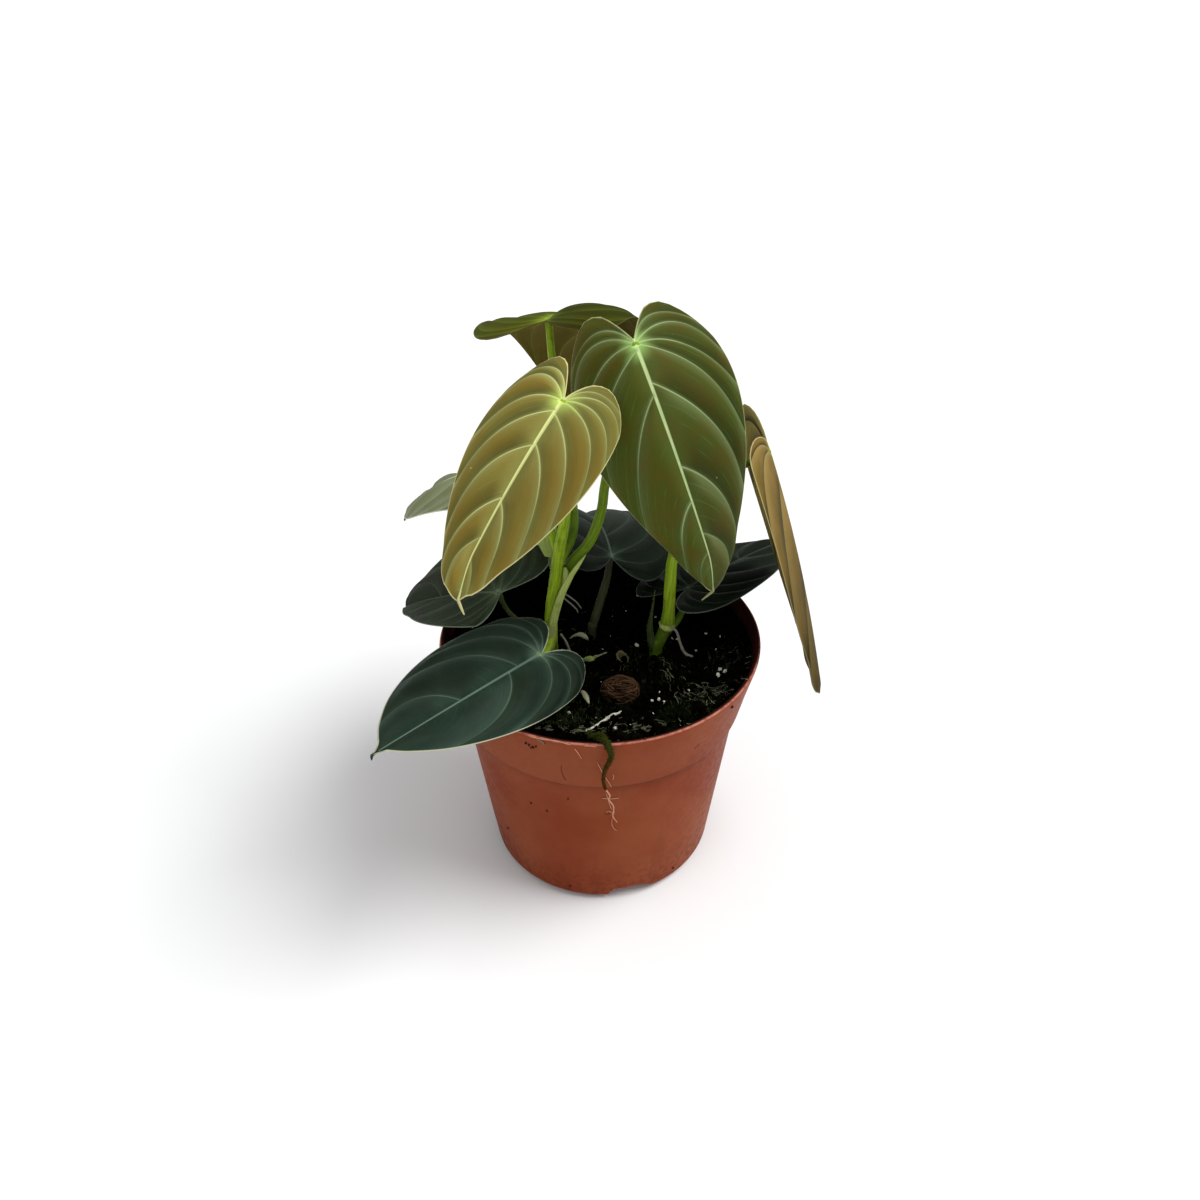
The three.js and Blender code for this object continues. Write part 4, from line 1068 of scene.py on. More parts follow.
def cutHoles(piece):  # the drain holes, cut with short rods
    turn = fullTurn(pot["drainSides"])
    ring = np.stack([np.cos(turn), np.sin(turn)], -1)
    rows = [(0, -2), (1, -2), (1, pot["floor"] + 2), (0, pot["floor"] + 2)]
    rods = []
    for around in 2 * math.pi * np.arange(pot["drainHoles"]) / pot["drainHoles"]:
        centre = pot["drainRing"] * np.array([math.cos(around), math.sin(around)])
        grid = [np.column_stack([centre + pot["drainRadius"] * reach * ring, np.full(len(ring), z)])
                for reach, z in rows]
        rods.append(sheet(np.stack(grid), around=True))
    cutter = makeObject("drain_rods", rods, [])
    modifier = piece.modifiers.new("holes", "BOOLEAN")
    modifier.operation = "DIFFERENCE"
    modifier.object = cutter
    modifier.solver = "EXACT"
    evaluated = piece.evaluated_get(bpy.context.evaluated_depsgraph_get())
    mesh = bpy.data.meshes.new_from_object(evaluated)
    piece.modifiers.clear()
    piece.data = mesh
    bpy.data.objects.remove(cutter)
    mesh.polygons.foreach_set("use_smooth", np.full(len(mesh.polygons), True))
    mesh.set_sharp_from_angle(angle=math.radians(50))


# Heights of the marks on the pot, in metres as the pattern reads them; the inside is told by its radius
potMarks = {
    "shadedFoot": (0.0, 0.03), "specks": (0.045, 0.095), "band": (0.0725, 0.0745),
    "shadowUnderBand": (0.0655, 0.0728), "shadowUnderBandEnd": (0.0729, 0.0737), "lip": (0.0979, 0.0983),
    "inside": (0.074, 0.075), "insideSlope": 0.2205, "insideStart": 0.0371,
}
soilColour = (0.03, 0.014, 0.008, 1)


def buildPotPattern():
    marks = potMarks
    group, given = newPattern("potPattern", ("Ground", "Faded", "StainAndShade", "Inside", "LipWearAndHighlight"))
    place = objectPlace(group)
    x, y, z = parted(group, place)
    broad = noise(group, place, 24, 3, 0.55)
    runs = noise(group, stretched(group, place, (150, 150, 14)), 1, 3, 0.6)
    grain = noise(group, place, 2400, 2, 0.6)
    fine = noise(group, place, 420, 4, 0.65)
    tone = mix(group, ramp(group, broad, 0.35, 0.68), given["Ground"], given["Faded"])
    # faint runs of dried water, and painted shade that darkens the foot in patches
    tone = mix(group, ramp(group, runs, 0.56, 0.74, 0.0, 0.16), tone, given["StainAndShade"])
    low = times(group, ramp(group, z, *marks["shadedFoot"], 0.5, 0.0), ramp(group, fine, 0.4, 0.65))
    tone = mix(group, low, tone, given["StainAndShade"])
    # specks of soil, most of them under the lip
    dots = times(group, ramp(group, cells(group, place, 210), 0.05, 0.12, 1.0, 0.0),
                 ramp(group, noise(group, place, 60, 2), 0.56, 0.62))
    dots = times(group, dots, ramp(group, z, *marks["specks"], 0.2, 0.8))
    tone = mix(group, times(group, dots, 0.75), tone, soilColour)
    # the band is a little paler than the wall, and a painted shadow lies under its edge
    tone = mix(group, times(group, ramp(group, z, *marks["band"]), 0.28), tone, given["Faded"])
    under = ramp(group, z, *marks["shadowUnderBand"])
    under = times(group, under, ramp(group, z, *marks["shadowUnderBandEnd"], 1.0, 0.0))
    tone = mix(group, times(group, under, 0.4), tone, given["StainAndShade"])
    # a paler lip, partly wear and partly a painted highlight on the rim's top
    lip = times(group, ramp(group, z, *marks["lip"]), ramp(group, fine, 0.38, 0.6, 0.25, 0.95))
    tone = mix(group, lip, tone, given["LipWearAndHighlight"])
    # painted shade: the wall inside the pot is a much darker red
    radius = calc(group, "SQRT", plus(group, times(group, x, x), times(group, y, y)))
    innerLine = plus(group, times(group, z, marks["insideSlope"]), marks["insideStart"])
    lining = ramp(group, calc(group, "SUBTRACT", radius, innerLine), 0.0003, 0.0008, 1.0, 0.0)
    tone = mix(group, times(group, lining, ramp(group, z, *marks["inside"])), tone, given["Inside"])
    height = plus(group, times(group, broad, 2.0), times(group, grain, 0.3))
    return endPattern(group, tone, ramp(group, fine, 0.3, 0.7, 0.36, 0.52), height)


plasticGloss = {"Specular IOR Level": 0.04, "Subsurface Weight": 0.05, "Subsurface Radius": (1.0, 0.35, 0.2),
                "Subsurface Scale": 0.003}
# colours: ground, faded, stain with painted shade, painted shade inside, and the lip with its painted
# highlight
potPlastic = newMaterial("clayPlastic", plasticGloss, buildPotPattern(),
                         "#7b3317 #864325 #57220f #30120d #b67668", bumpDepth=0.00008)
potPiece = buildPot()
cutHoles(potPiece)
potPiece.data.materials.clear()
potPiece.data.materials.append(potPlastic)
settle(potPiece, "pot", "pot")
print("pot")

# Soil: peat that fills the pot, with crumbs, fibres, perlite and moss on top

soil = {
    "level": 88.6, "lump": 0.7, "frontRise": 6.5, "bank": 3.2, "sides": 240,
    "crumbs": 2600, "crumbSize": (0.35, 2.1),
    "grains": 46, "grainSize": (0.2, 0.42), "plainSize": (0.45, 0.8),
}


def soilHeight(x, y):  # two crossed waves, risen towards the pot's front edge
    lumpy = np.sin(0.24 * x + 1.3) * np.cos(0.21 * y - 0.6) + 0.5 * np.sin(0.4 * x - 0.31 * y + 2.1)
    radius = np.hypot(x, y)
    front = np.clip((-y / np.maximum(radius, 1) - 0.55) / 0.45, 0, 1)
    edge = np.clip((radius / 56 - 0.72) / 0.28, 0, 1)
    return soil["level"] + soil["lump"] * lumpy + soil["frontRise"] * front * edge ** 2 + 1.2 * edge


def crumbled(x, y):  # the same ground with clods and crumbs, banked up along the wall
    clods = 0.7 * lumps(x, y, 7, seed=3) + 0.55 * np.abs(lumps(x, y, 3.1, seed=4))
    clods = clods + 0.35 * np.abs(lumps(x, y, 1.4, seed=5))
    radius = np.hypot(x, y)
    bank = soil["bank"] * smoothStep(radius, 40, 57) * smoothStep(y / np.maximum(radius, 1), -0.8, -0.3)
    return soilHeight(x, y) + clods - 0.25 + bank


def soilShell():
    # rings: out along the floor, up inside the wall, and in over the ground to the middle
    turn = fullTurn(soil["sides"])
    cx, cy = np.sin(turn), -np.cos(turn)
    topRadius = float(innerRadius(soil["level"] + 1)) - 0.25
    share = np.concatenate([np.linspace(1, 0.02, 96), [0.0]])[:, None]
    x, y = topRadius * share * cx, topRadius * share * cy
    top = np.stack([x, y, crumbled(x, y)], -1)
    edge = innerRadius(top[0, :, 2] - 0.6) - 0.25
    top[0, :, 0], top[0, :, 1] = edge * cx, edge * cy
    top[0, :, 2] -= 0.6
    bottom = pot["floor"] + 0.3
    heights = (pot["floor"] + 5.3, 40.0, bandFoot - 1, bandFoot + 0.5)
    rings = [(0.0, bottom), (pot["floorRadius"], bottom)]
    rings += [(float(innerRadius(z)) - 0.4, z) for z in heights]
    below = [np.stack([radius * cx, radius * cy, np.full(len(turn), z)], -1) for radius, z in rings]
    grid = np.concatenate([np.stack(below), top])
    tone = 0.35 + 0.3 * lumps(grid[..., 0], grid[..., 1], 5, seed=8)
    return sheet(grid, around=True, values={"tone": tone.ravel()})


def ball(level):
    work = bmesh.new()
    bmesh.ops.create_icosphere(work, subdivisions=level, radius=1)
    points = np.array([vertex.co[:] for vertex in work.verts])
    faces = np.array([[vertex.index for vertex in face.verts] for face in work.faces])
    work.free()
    return points, faces


def repeated(faces, count, points):  # the faces of that many copies, each of so many points
    return (faces[None] + (np.arange(count) * points)[:, None, None]).reshape(-1, faces.shape[1])


def randomTurns(random, count):
    # uniformly random rotation matrices, from random quaternions
    w, x, y, z = unit(random.normal(size=(count, 4))).T
    return np.stack([
        np.stack([1 - 2 * (y * y + z * z), 2 * (x * y - z * w), 2 * (x * z + y * w)], -1),
        np.stack([2 * (x * y + z * w), 1 - 2 * (x * x + z * z), 2 * (y * z - x * w)], -1),
        np.stack([2 * (x * z - y * w), 2 * (y * z + x * w), 1 - 2 * (x * x + y * y)], -1),
    ], 1)


def scattered(shape, centres, sizes, random, squash, dents, tones=(0, 1)):
    # many copies of a small ball, each stretched, dented, turned and set at its centre
    points, faces = shape
    count = len(centres)
    tone = np.repeat(random.uniform(*tones, count), len(points))
    stretch = sizes[:, None] * random.uniform(1 - squash, 1 + squash, (count, 3))
    dented = points[None] * (1 + dents * random.uniform(-1, 1, (count, len(points), 1)))
    turned = np.einsum("nij,nkj->nki", randomTurns(random, count), dented * stretch[:, None])
    return {"points": (turned + centres[:, None]).reshape(-1, 3),
            "faces": repeated(faces, count, len(points)), "values": {"tone": tone}}


def scatteredDisc(reach, count, random):  # places spread evenly over a round stretch of ground
    radius = reach * np.sqrt(random.uniform(0, 1, count))
    turn = random.uniform(0, 2 * math.pi, count)
    return radius, radius * np.cos(turn), radius * np.sin(turn)


def crumbShell(random):  # small balls all over the ground, half sunk, many small and few large
    radius, x, y = scatteredDisc(56.5, soil["crumbs"], random)
    low, high = soil["crumbSize"]
    sizes = low * (high / low) ** (random.uniform(0, 1, len(x)) ** 1.6)
    z = crumbled(x, y) + sizes * 0.25
    shrink = np.minimum(1, (innerRadius(z) - sizes * 1.1 - 0.4) / np.maximum(radius, 1))
    centres = np.stack([x * shrink, y * shrink, z], -1)
    return scattered(ball(1), centres, sizes, random, squash=0.4, dents=0.22)


def buildSoilPattern():
    group, given = newPattern("soilPattern", ("Ground", "Crumb", "Moss"))
    place = objectPlace(group)
    fine = noise(group, place, 700, 4, 0.7)
    patch = noise(group, place, 75, 3, 0.6)
    crumb = times(group, attribute(group, "tone"), ramp(group, fine, 0.3, 0.65))
    ground = mix(group, crumb, given["Ground"], given["Crumb"])
    # greener towards the front
    front = ramp(group, parted(group, place)[1], -0.028, 0.01, 0.85, 0.2)
    green = times(group, ramp(group, patch, 0.5, 0.64), front)
    ground = mix(group, green, ground, given["Moss"])
    height = plus(group, fine, times(group, patch, 0.3))
    return endPattern(group, ground, ramp(group, fine, 0.3, 0.7, 0.62, 0.95), height)


peat = newMaterial("dampPeat", {"Specular IOR Level": 0.0}, buildSoilPattern(), "#010100 #0c0906 #0a0e05",
                   bumpDepth=0.0006)
random = np.random.default_rng(21)
makePiece("soil_ground", [soilShell()], [peat], "soil", "soil")
makePiece("soil_crumbs", [crumbShell(random)], [peat], "soil", smooth=False, weld=0)
print("soil")

# Perlite: white grains, the plainest of them where they lie in the pot

grainPlaces = [  # pixels of the photograph
    (720, 670), (718, 676), (725, 672), (652, 701), (659, 700), (664, 702), (653, 714), (652, 721),
    (630, 727), (616, 729.5), (569.5, 714), (558, 732), (696, 651), (638, 596), (637, 646), (688, 614),
    (677, 641), (706, 634), (720, 637), (698, 623), (727, 619), (747, 620), (672, 639),
]


def cameraRays(pixels):
    # the camera's place, and its directions through pixels of the photograph, counted from the top left
    settings = cameraSettings
    down, roll = math.radians(settings["down"]), -settings["roll"]
    ahead = np.array([0, math.cos(down), -math.sin(down)])
    up = np.array([0, math.sin(down), math.cos(down)])
    eye = np.array(settings["target"]) - ahead * settings["distance"]
    a = np.asarray(pixels, float) - settings["frame"] / 2
    u = math.cos(roll) * a[:, 0] + math.sin(roll) * a[:, 1]
    v = -math.sin(roll) * a[:, 0] + math.cos(roll) * a[:, 1]
    return eye, ahead + (u[:, None] * np.array([1.0, 0, 0]) - v[:, None] * up) / settings["focal"]


def onSoil(pixels):
    # where the camera's rays through those pixels meet the ground, found by a few steps
    eye, ray = cameraRays(pixels)
    height = np.full(len(ray), soil["level"])
    for _ in range(8):
        place = eye + ray * ((height - eye[2]) / ray[:, 2])[:, None]
        height = crumbled(place[:, 0], place[:, 1])
    return place


def onSurface(pixels, lift):
    # the first of the pot's outside, its lip and the ground that each ray meets, and lift mm off it
    eye, ray = cameraRays(pixels)
    low, high = ((y - eye[1]) / ray[:, 1] for y in (-80.0, -5.0))
    for _ in range(30):  # halving the stretch of the ray in which it enters the pot's outline
        middle = (low + high) / 2
        place = eye + ray * middle[:, None]
        outside = np.hypot(place[:, 0], place[:, 1]) > outerRadius(place[:, 2]) + lift
        low, high = np.where(outside, middle, low), np.where(outside, high, middle)
    lip = eye + ray * ((pot["height"] - eye[2]) / ray[:, 2])[:, None]
    reach = np.hypot(lip[:, 0], lip[:, 1])
    onLip = (reach > float(innerRadius(pot["height"]))) & (reach < pot["rimRadius"] + 1)
    onWall = place[:, 2] < pot["height"]
    raised = np.array([0, 0, lift])
    return np.where(onWall[:, None], place, np.where(onLip[:, None], lip + raised, onSoil(pixels) + raised))


def grainShell(random):  # plain grains where they are seen, and finer ones anywhere
    seen = onSoil(grainPlaces)
    seen = seen[np.hypot(seen[:, 0], seen[:, 1]) < 55]
    _, x, y = scatteredDisc(54, soil["grains"], random)
    centres = np.vstack([seen, np.stack([x, y, crumbled(x, y)], -1)])
    drawn = ((soil["plainSize"], len(seen)), (soil["grainSize"], len(x)))
    sizes = np.concatenate([random.uniform(*size, count) for size, count in drawn])
    centres[:, 2] += sizes * 0.5
    return scattered(ball(2), centres, sizes, random, squash=0.4, dents=0.14)


def buildPalePattern():
    group, given = newPattern("palePattern", ("Ground", "Shade"), ("Grain",))
    place = objectPlace(group)
    fine = noise(group, place, given["Grain"], 4, 0.65)
    patch = noise(group, place, 160, 2)
    share = times(group, ramp(group, fine, 0.4, 0.7), ramp(group, patch, 0.3, 0.7, 0.4, 1.0))
    tone = mix(group, share, given["Ground"], given["Shade"])
    return endPattern(group, tone, ramp(group, fine, 0.3, 0.7, 0.55, 0.85), fine)


perlite = newMaterial("perlite", {"Specular IOR Level": 0.4}, buildPalePattern(), "#e6e3da #a39d90",
                      numbers=(1500.0,), bumpDepth=0.0003)
makePiece("perlite_grains", [grainShell(random)], [perlite], "soil", weld=0)

# Strands: moss, root hairs and dry fibres


def strands(paths, radii, tone, sides=3):
    # a small round profile carried along each of many lines: paths (count, steps, 3), radii (count, steps)
    count, steps = radii.shape
    faces = repeated(gridFaces(steps, sides, around=True, flip=True), count, steps * sides)
    points = carried(paths, radii[..., None], sides, (0.37, 0.21, 0.9)).reshape(-1, 3)
    return {"points": points, "faces": faces, "values": {"tone": np.repeat(tone, steps * sides)}}


def tapered(radius, steps, blunt=0.2):  # radii along a strand, closed at both ends
    along = np.linspace(0, 1, steps)
    return radius[:, None] * np.clip(4 * along * (1 - along) / blunt, 0, 1) ** 0.5


def within(paths):  # held inside the pot's wall
    reach = np.hypot(paths[..., 0], paths[..., 1])
    room = innerRadius(paths[..., 2]) - 0.5
    share = np.minimum(1, room / np.maximum(reach, 1))
    return paths * np.stack([share, share, np.ones_like(share)], -1)


def lying(cluster, random):
    # strands lying about a place: each an arc on the ground that humps up between its ends
    count, steps = cluster["count"], 8
    centre = onSoil([cluster["at"]])[0]
    x, y = (centre[k] + cluster["spread"][k] * random.normal(size=(count, 1)) for k in (0, 1))
    turn = np.radians(random.uniform(*cluster.get("heading", (0, 360)), (count, 1)))
    size = random.uniform(*cluster["length"], (count, 1))
    along = np.linspace(-0.5, 0.5, steps)[None]
    bow = size * random.uniform(-0.5, 0.5, (count, 1)) * (0.25 - along ** 2) * 2
    bow = bow + size * 0.05 * np.sin(along * 12 + random.uniform(0, 6, (count, 1)))
    x = x + along * size * np.cos(turn) - bow * np.sin(turn)
    y = y + along * size * np.sin(turn) + bow * np.cos(turn)
    hump = cluster["hump"] * random.uniform(0.1, 1, (count, 1)) * (1 - 4 * along ** 2)
    paths = within(np.stack([x, y, crumbled(x, y) + 0.15 + hump], -1))
    radius = random.uniform(*cluster["radius"], count)
    return strands(paths, tapered(radius, steps), random.uniform(*cluster["tone"], count))


def mossy(base, out, height, random, spread):
    # blades that rise from their base along out and bend over, height in mm
    count, steps = len(base), 5
    lean = random.normal(size=(count, 1, 3)) * spread
    share = np.linspace(0, 1, steps)[None, :, None]
    size = height * random.uniform(0.45, 1, (count, 1, 1))
    paths = base[:, None] + size * (out[:, None] * share + lean * share ** 1.7)
    radius = random.uniform(0.09, 0.17, count)[:, None] * np.array([0, 1, 1, 0.7, 0])
    return paths, radius


def seenStrands(lines, random, radius, lift):
    # strands drawn as they are seen: pixels of the photograph carried to the surface behind them
    shells, steps = [], 9
    for line in lines:
        places = onSurface(through(line, np.linspace(0, len(line) - 1, steps)), lift)
        radii = tapered(np.array([radius]), steps, blunt=0.35)
        shells.append(strands(places[None], radii, random.uniform(0.5, 1, 1), sides=5))
    return shells


# Places are pixels of the photograph; spread, length, hump and radius are in mm
fibreClusters = [
    {"at": (706, 695), "spread": (6.5, 3), "count": 60, "length": (3, 8), "hump": 1.4,
     "radius": (0.06, 0.13), "tone": (0.1, 0.6)},
    {"at": (722, 662), "spread": (4, 4), "count": 22, "length": (2, 5), "hump": 0.8, "radius": (0.08, 0.15),
     "tone": (0, 0.5)},
    {"at": (672, 674), "spread": (4, 3), "count": 16, "length": (3, 6), "hump": 1, "heading": (-80, -40),
     "radius": (0.08, 0.17), "tone": (0.2, 0.7)},
    {"at": (556, 731), "spread": (8, 1.2), "count": 60, "length": (2, 6), "hump": 1, "heading": (-30, 20),
     "radius": (0.06, 0.14), "tone": (0.2, 0.8)},
    {"at": (606, 728), "spread": (6, 2), "count": 30, "length": (2, 5), "hump": 1, "radius": (0.08, 0.15),
     "tone": (0.1, 0.7)},
    {"at": (655, 728), "spread": (8, 2), "count": 50, "length": (2, 6), "hump": 1, "heading": (-20, 40),
     "radius": (0.08, 0.16), "tone": (0.1, 0.8)},
    {"at": (620, 650), "spread": (22, 20), "count": 110, "length": (1.5, 5), "hump": 0.7,
     "radius": (0.06, 0.13), "tone": (0, 0.35)},
]
seenFibres = [
    [(700.6, 683.1), (707.5, 683.8), (715.6, 685)], [(687.5, 686.9), (693.8, 684.4), (703.8, 689.4)],
    [(680.6, 693.8), (684, 692.5), (691.9, 698)], [(688, 698), (692.5, 702), (696.3, 707.5)],
    [(707.5, 696.3), (711.9, 702.5), (715, 704.4)], [(713.8, 693.8), (717.5, 697.5), (720, 702.5)],
    [(725, 690), (730, 690), (735.6, 690.6)], [(706.9, 700), (706.5, 704), (707.5, 707.5)],
    [(666.9, 668), (671, 676), (677.5, 681)], [(677.5, 718), (679, 720), (681, 722.5)],
    [(708, 658), (712, 658), (715, 658.8)], [(727.5, 653), (733, 653), (739.4, 653.8)],
    [(531.7, 730), (539, 729), (546.7, 729)], [(550.8, 723.3), (557, 722), (563.3, 720.8)],
    [(575, 730), (581, 727), (588.3, 725)], [(606.7, 735.8), (620, 735), (633.3, 734.2)],
    [(623.3, 734.2), (643.3, 732.5), (658.3, 727.5)], [(744.8, 658.8), (749, 657.5), (752, 657)],
    [(744.8, 665), (748, 663), (751, 662)], [(743.8, 668.8), (747, 668.8), (750, 668.5)],
    [(740.6, 679.4), (744.5, 679.6), (748.2, 680.4)], [(535.8, 739.2), (541.7, 741.7), (545, 745.8)],
]
mossPatches = [
    {"at": (583, 715), "spread": (5.5, 3), "count": 420, "height": 1.9},
    {"at": (560, 724), "spread": (6.5, 1.6), "count": 300, "height": 1.5},
    {"at": (640, 730), "spread": (9, 1.6), "count": 260, "height": 1.4},
    {"at": (700, 706), "spread": (7, 4), "count": 320, "height": 1.6},
    {"at": (655, 668), "spread": (7, 4.5), "count": 380, "height": 1.3},
    {"at": (728, 655), "spread": (5, 6), "count": 240, "height": 1.2},
    {"at": (636, 655), "spread": (5, 4), "count": 160, "height": 1.3},
    {"at": (600, 620), "spread": (22, 20), "count": 700, "height": 0.9},
]


def mossShell(patch, random):  # upright blades, close together about the place
    centre = onSoil([patch["at"]])[0]
    x, y = (centre[k] + patch["spread"][k] * random.normal(size=patch["count"]) for k in (0, 1))
    base = within(np.stack([x, y, crumbled(x, y) - 0.1], -1))
    out = np.broadcast_to(np.array([0, 0, 1.0]), base.shape)
    paths, radius = mossy(base, out, patch["height"], random, spread=0.55)
    return strands(within(paths), radius, random.uniform(0, 1, len(base)))


def buildStrandPattern():
    group, given = newPattern("strandPattern", ("Ground", "Pale"))
    fine = noise(group, objectPlace(group), 900, 3, 0.6)
    share = times(group, attribute(group, "tone"), ramp(group, fine, 0.25, 0.6, 0.5, 1.0))
    tone = mix(group, share, given["Ground"], given["Pale"])
    return endPattern(group, tone, ramp(group, fine, 0.3, 0.7, 0.5, 0.8), fine)


strandPattern = buildStrandPattern()
dry, matt = {"Specular IOR Level": 0.25}, {"Specular IOR Level": 0.04}
strandFinishes = {  # gloss, ground and pale colour, depth of the bump
    "mossGreen": (matt, "#0d1207 #3a4624", 0.0001),
    "paleFibre": (dry, "#17170e #84856a", 0.0001),
    "barkFibre": (matt, "#0b0704 #604530", 0.0001),
    "rimGreen": (matt, "#4a3009 #224216", 0.0001),
    "rootSkin": (dry, "#56544a #cdc8b6", 0.0002),
    "scuffed": (matt, "#54200f #642c17", 0.0001),
    "pinkRoot": (dry, "#8a4c34 #cc9474", 0.0001),
}
strandMaterials = {name: newMaterial(name, gloss, strandPattern, colours, bumpDepth=depth)
                   for name, (gloss, colours, depth) in strandFinishes.items()}

fibres = [lying(cluster, random) for cluster in fibreClusters]
fibres += seenStrands(seenFibres, random, radius=0.19, lift=0.35)
makePiece("soil_fibres", fibres, [strandMaterials["paleFibre"]], "root")
moss = [mossShell(patch, random) for patch in mossPatches]
makePiece("soil_moss", moss, [strandMaterials["mossGreen"]], "moss")
print("moss and fibres")

# Roots: smooth lines with a slightly uneven radius. A point without a height lies on the ground.

roots = {
    "root_left": {"points": [[-14.6, 1.7, 97.2], [-13, 2.2, 93.4], [-11.2, 1.6], [-8.2, -2.6], [-3, -2.6],
                             [2.4, 0.2]], "radii": [0.45, 0.45, 0.5, 0.45, 0.42, 0.3], "tone": 0.35},
    "root_right": {"points": [[26.4, -0.9, 102.2], [28.7, -0.2, 99.6], [30, -0.6, 95.6], [31, -1.2, 92.4],
                              [32.6, -1.4], [35, -1.7]], "radii": [0.4, 0.5, 0.5, 0.5, 0.6, 0.4],
        "tone": 0.5},
    "root_white": {"points": [[-5.1, -43.2], [-2, -40], [0.9, -37.5], [4, -35], [7.3, -32.8]],
        "radii": [0.3, 0.4, 0.6, 0.7, 0.45], "tone": 1.0},
}
stemRootlets = [
    [[-13.6, 1.2, 115.6], [-12.5, 0.4, 114.5], [-10.2, -0.2, 112.5], [-8.5, -0.6, 110.6], [-8, -0.8, 109.3]],
    [[-13.2, 0.8, 117.2], [-11.9, 0.8, 116.1], [-10.3, 0.6, 114.9], [-8.5, 0.3, 113.2], [-6.7, 0, 110.6]],
]


def grounded(points, radii):  # the points in space
    def placed(point, radius):
        return point if len(point) == 3 else [*point, float(crumbled(point[0], point[1])) + radius]

    return np.array([placed(np.asarray(point, float), radius) for point, radius in zip(points, radii)])


def rootShell(points, radii, tone, seed):
    line = grounded(points, radii)
    return tube(line, radii, sides=10, step=0.5, values={"tone": tone}, rough=0.22, seed=seed)


rootSkin = [strandMaterials["rootSkin"]]
for seed, (name, root) in enumerate(roots.items()):
    shell = rootShell(root["points"], root["radii"], root["tone"], seed + 3)
    makePiece(name + "_skin", [shell], rootSkin, "root", name)
rootlets = [rootShell(line, [0.32, 0.32, 0.3, 0.26, 0.18], tone=0.1, seed=9) for line in stemRootlets]
makePiece("stem_rootlets", rootlets, rootSkin, "root")

# The root over the lip: a dark core clad in moss, ending in thin pale roots

rimRoot = {
    "points": [[-4.4, -46.5], [-2.8, -51], [-0.8, -56, 98.8], [0.8, -59.2, 100.6], [2.6, -61.3, 99],
    [3.3, -61.8, 94.5], [1.5, -61, 88.5], [0.7, -60.2, 82.5], [1.4, -59.2, 77]],
    "radii": [0.7, 0.75, 0.8, 0.8, 0.8, 0.72, 0.62, 0.5, 0.4], "blades": 3000, "bladeHeight": 1.15,
}
rimRootlet = {
    "points": [[1.8, -59.5, 76.6], [2.9, -59, 73.6], [2.6, -58, 70.6], [4.2, -57.4, 66.4], [4, -56.8, 61],
    [5.5, -56.4, 57.4]], "radii": [0.3, 0.28, 0.26, 0.26, 0.22, 0.13],
}
hangingThreads = [  # pixels of the photograph
    [(596.2, 760.3), (602.8, 773.3), (608.3, 781.7), (612.2, 788.3)],
    [(601.2, 798), (610, 798.8), (620, 798)], [(608, 800), (613.3, 806.7), (614.2, 815)],
    [(605.8, 792.5), (609.2, 803.3), (611.7, 810)], [(613, 774), (613.6, 777), (612.8, 780)],
    [(606, 812), (609, 811), (612, 813)], [(612.5, 817.5), (611.7, 823.3), (613.7, 828.3), (617.5, 830.8)],
    [(546.7, 740), (560, 742.5), (571.7, 745)], [(574.2, 748.3), (578.3, 753.3), (581.7, 759.2)],
    [(528, 736), (540, 739), (551, 741)], [(583, 746), (590, 746), (597, 747)],
]


def rimCore():  # green where it leaves the soil, brown towards its end
    line = grounded(rimRoot["points"], rimRoot["radii"])
    values = {"tone": [0.6, 0.6, 0.6, 0.6, 0.5, 0.3, 0.1, 0.05, 0]}
    return tube(line, rimRoot["radii"], sides=16, step=0.5, values=values, rough=0.35, seed=5)


def squareTo(axis, random):  # random directions square to the axis
    loose = random.normal(size=axis.shape)
    return unit(loose - axis * (loose * axis).sum(-1, keepdims=True))


def rimMoss(random):
    # blades all round the root, leaning on along it and down, shorter towards its end
    line = grounded(rimRoot["points"], rimRoot["radii"])
    count, last = rimRoot["blades"], len(line) - 1
    at = last * random.uniform(0, 1, count) ** 1.25
    ahead = unit(through(line, np.minimum(at + 0.02, last)) - through(line, np.maximum(at - 0.02, 0)))
    out = squareTo(ahead, random)
    base = through(line, at) + out * readAlong(rimRoot["radii"], at)[:, None] * 0.9
    size = rimRoot["bladeHeight"] * (1.1 - at / len(line))
    paths, radius = mossy(base, unit(out + ahead * 0.7 - np.array([0, 0, 0.35])), 1.0, random, spread=0.4)
    paths = base[:, None] + (paths - base[:, None]) * size[:, None, None]
    brown = smoothStep(at, 3.5, 7)  # towards the end
    return strands(paths, radius, random.uniform(0.4, 1, count) * (1 - brown))


makePiece("rim_root_moss", [rimCore(), rimMoss(random)], [strandMaterials["rimGreen"]], "moss", "rim_root")
rootlet = rootShell(rimRootlet["points"], rimRootlet["radii"], tone=0.7, seed=7)
threads = seenStrands(hangingThreads, random, radius=0.15, lift=0.3)
makePiece("rim_root_threads", [rootlet] + threads, [strandMaterials["pinkRoot"]], "root", "rim_rootlets")
print("roots")

# Bark chip: a ball of coir, half sunk, with fibres wound round it

bark = {"centre": (7.1, -23.5, 91.2), "size": (6.3, 5.2, 4.4), "fibres": 520, "rows": 48, "around": 80}


def onBark(directions, reach):
    return np.array(bark["centre"]) + np.array(bark["size"]) * directions * reach[..., None]


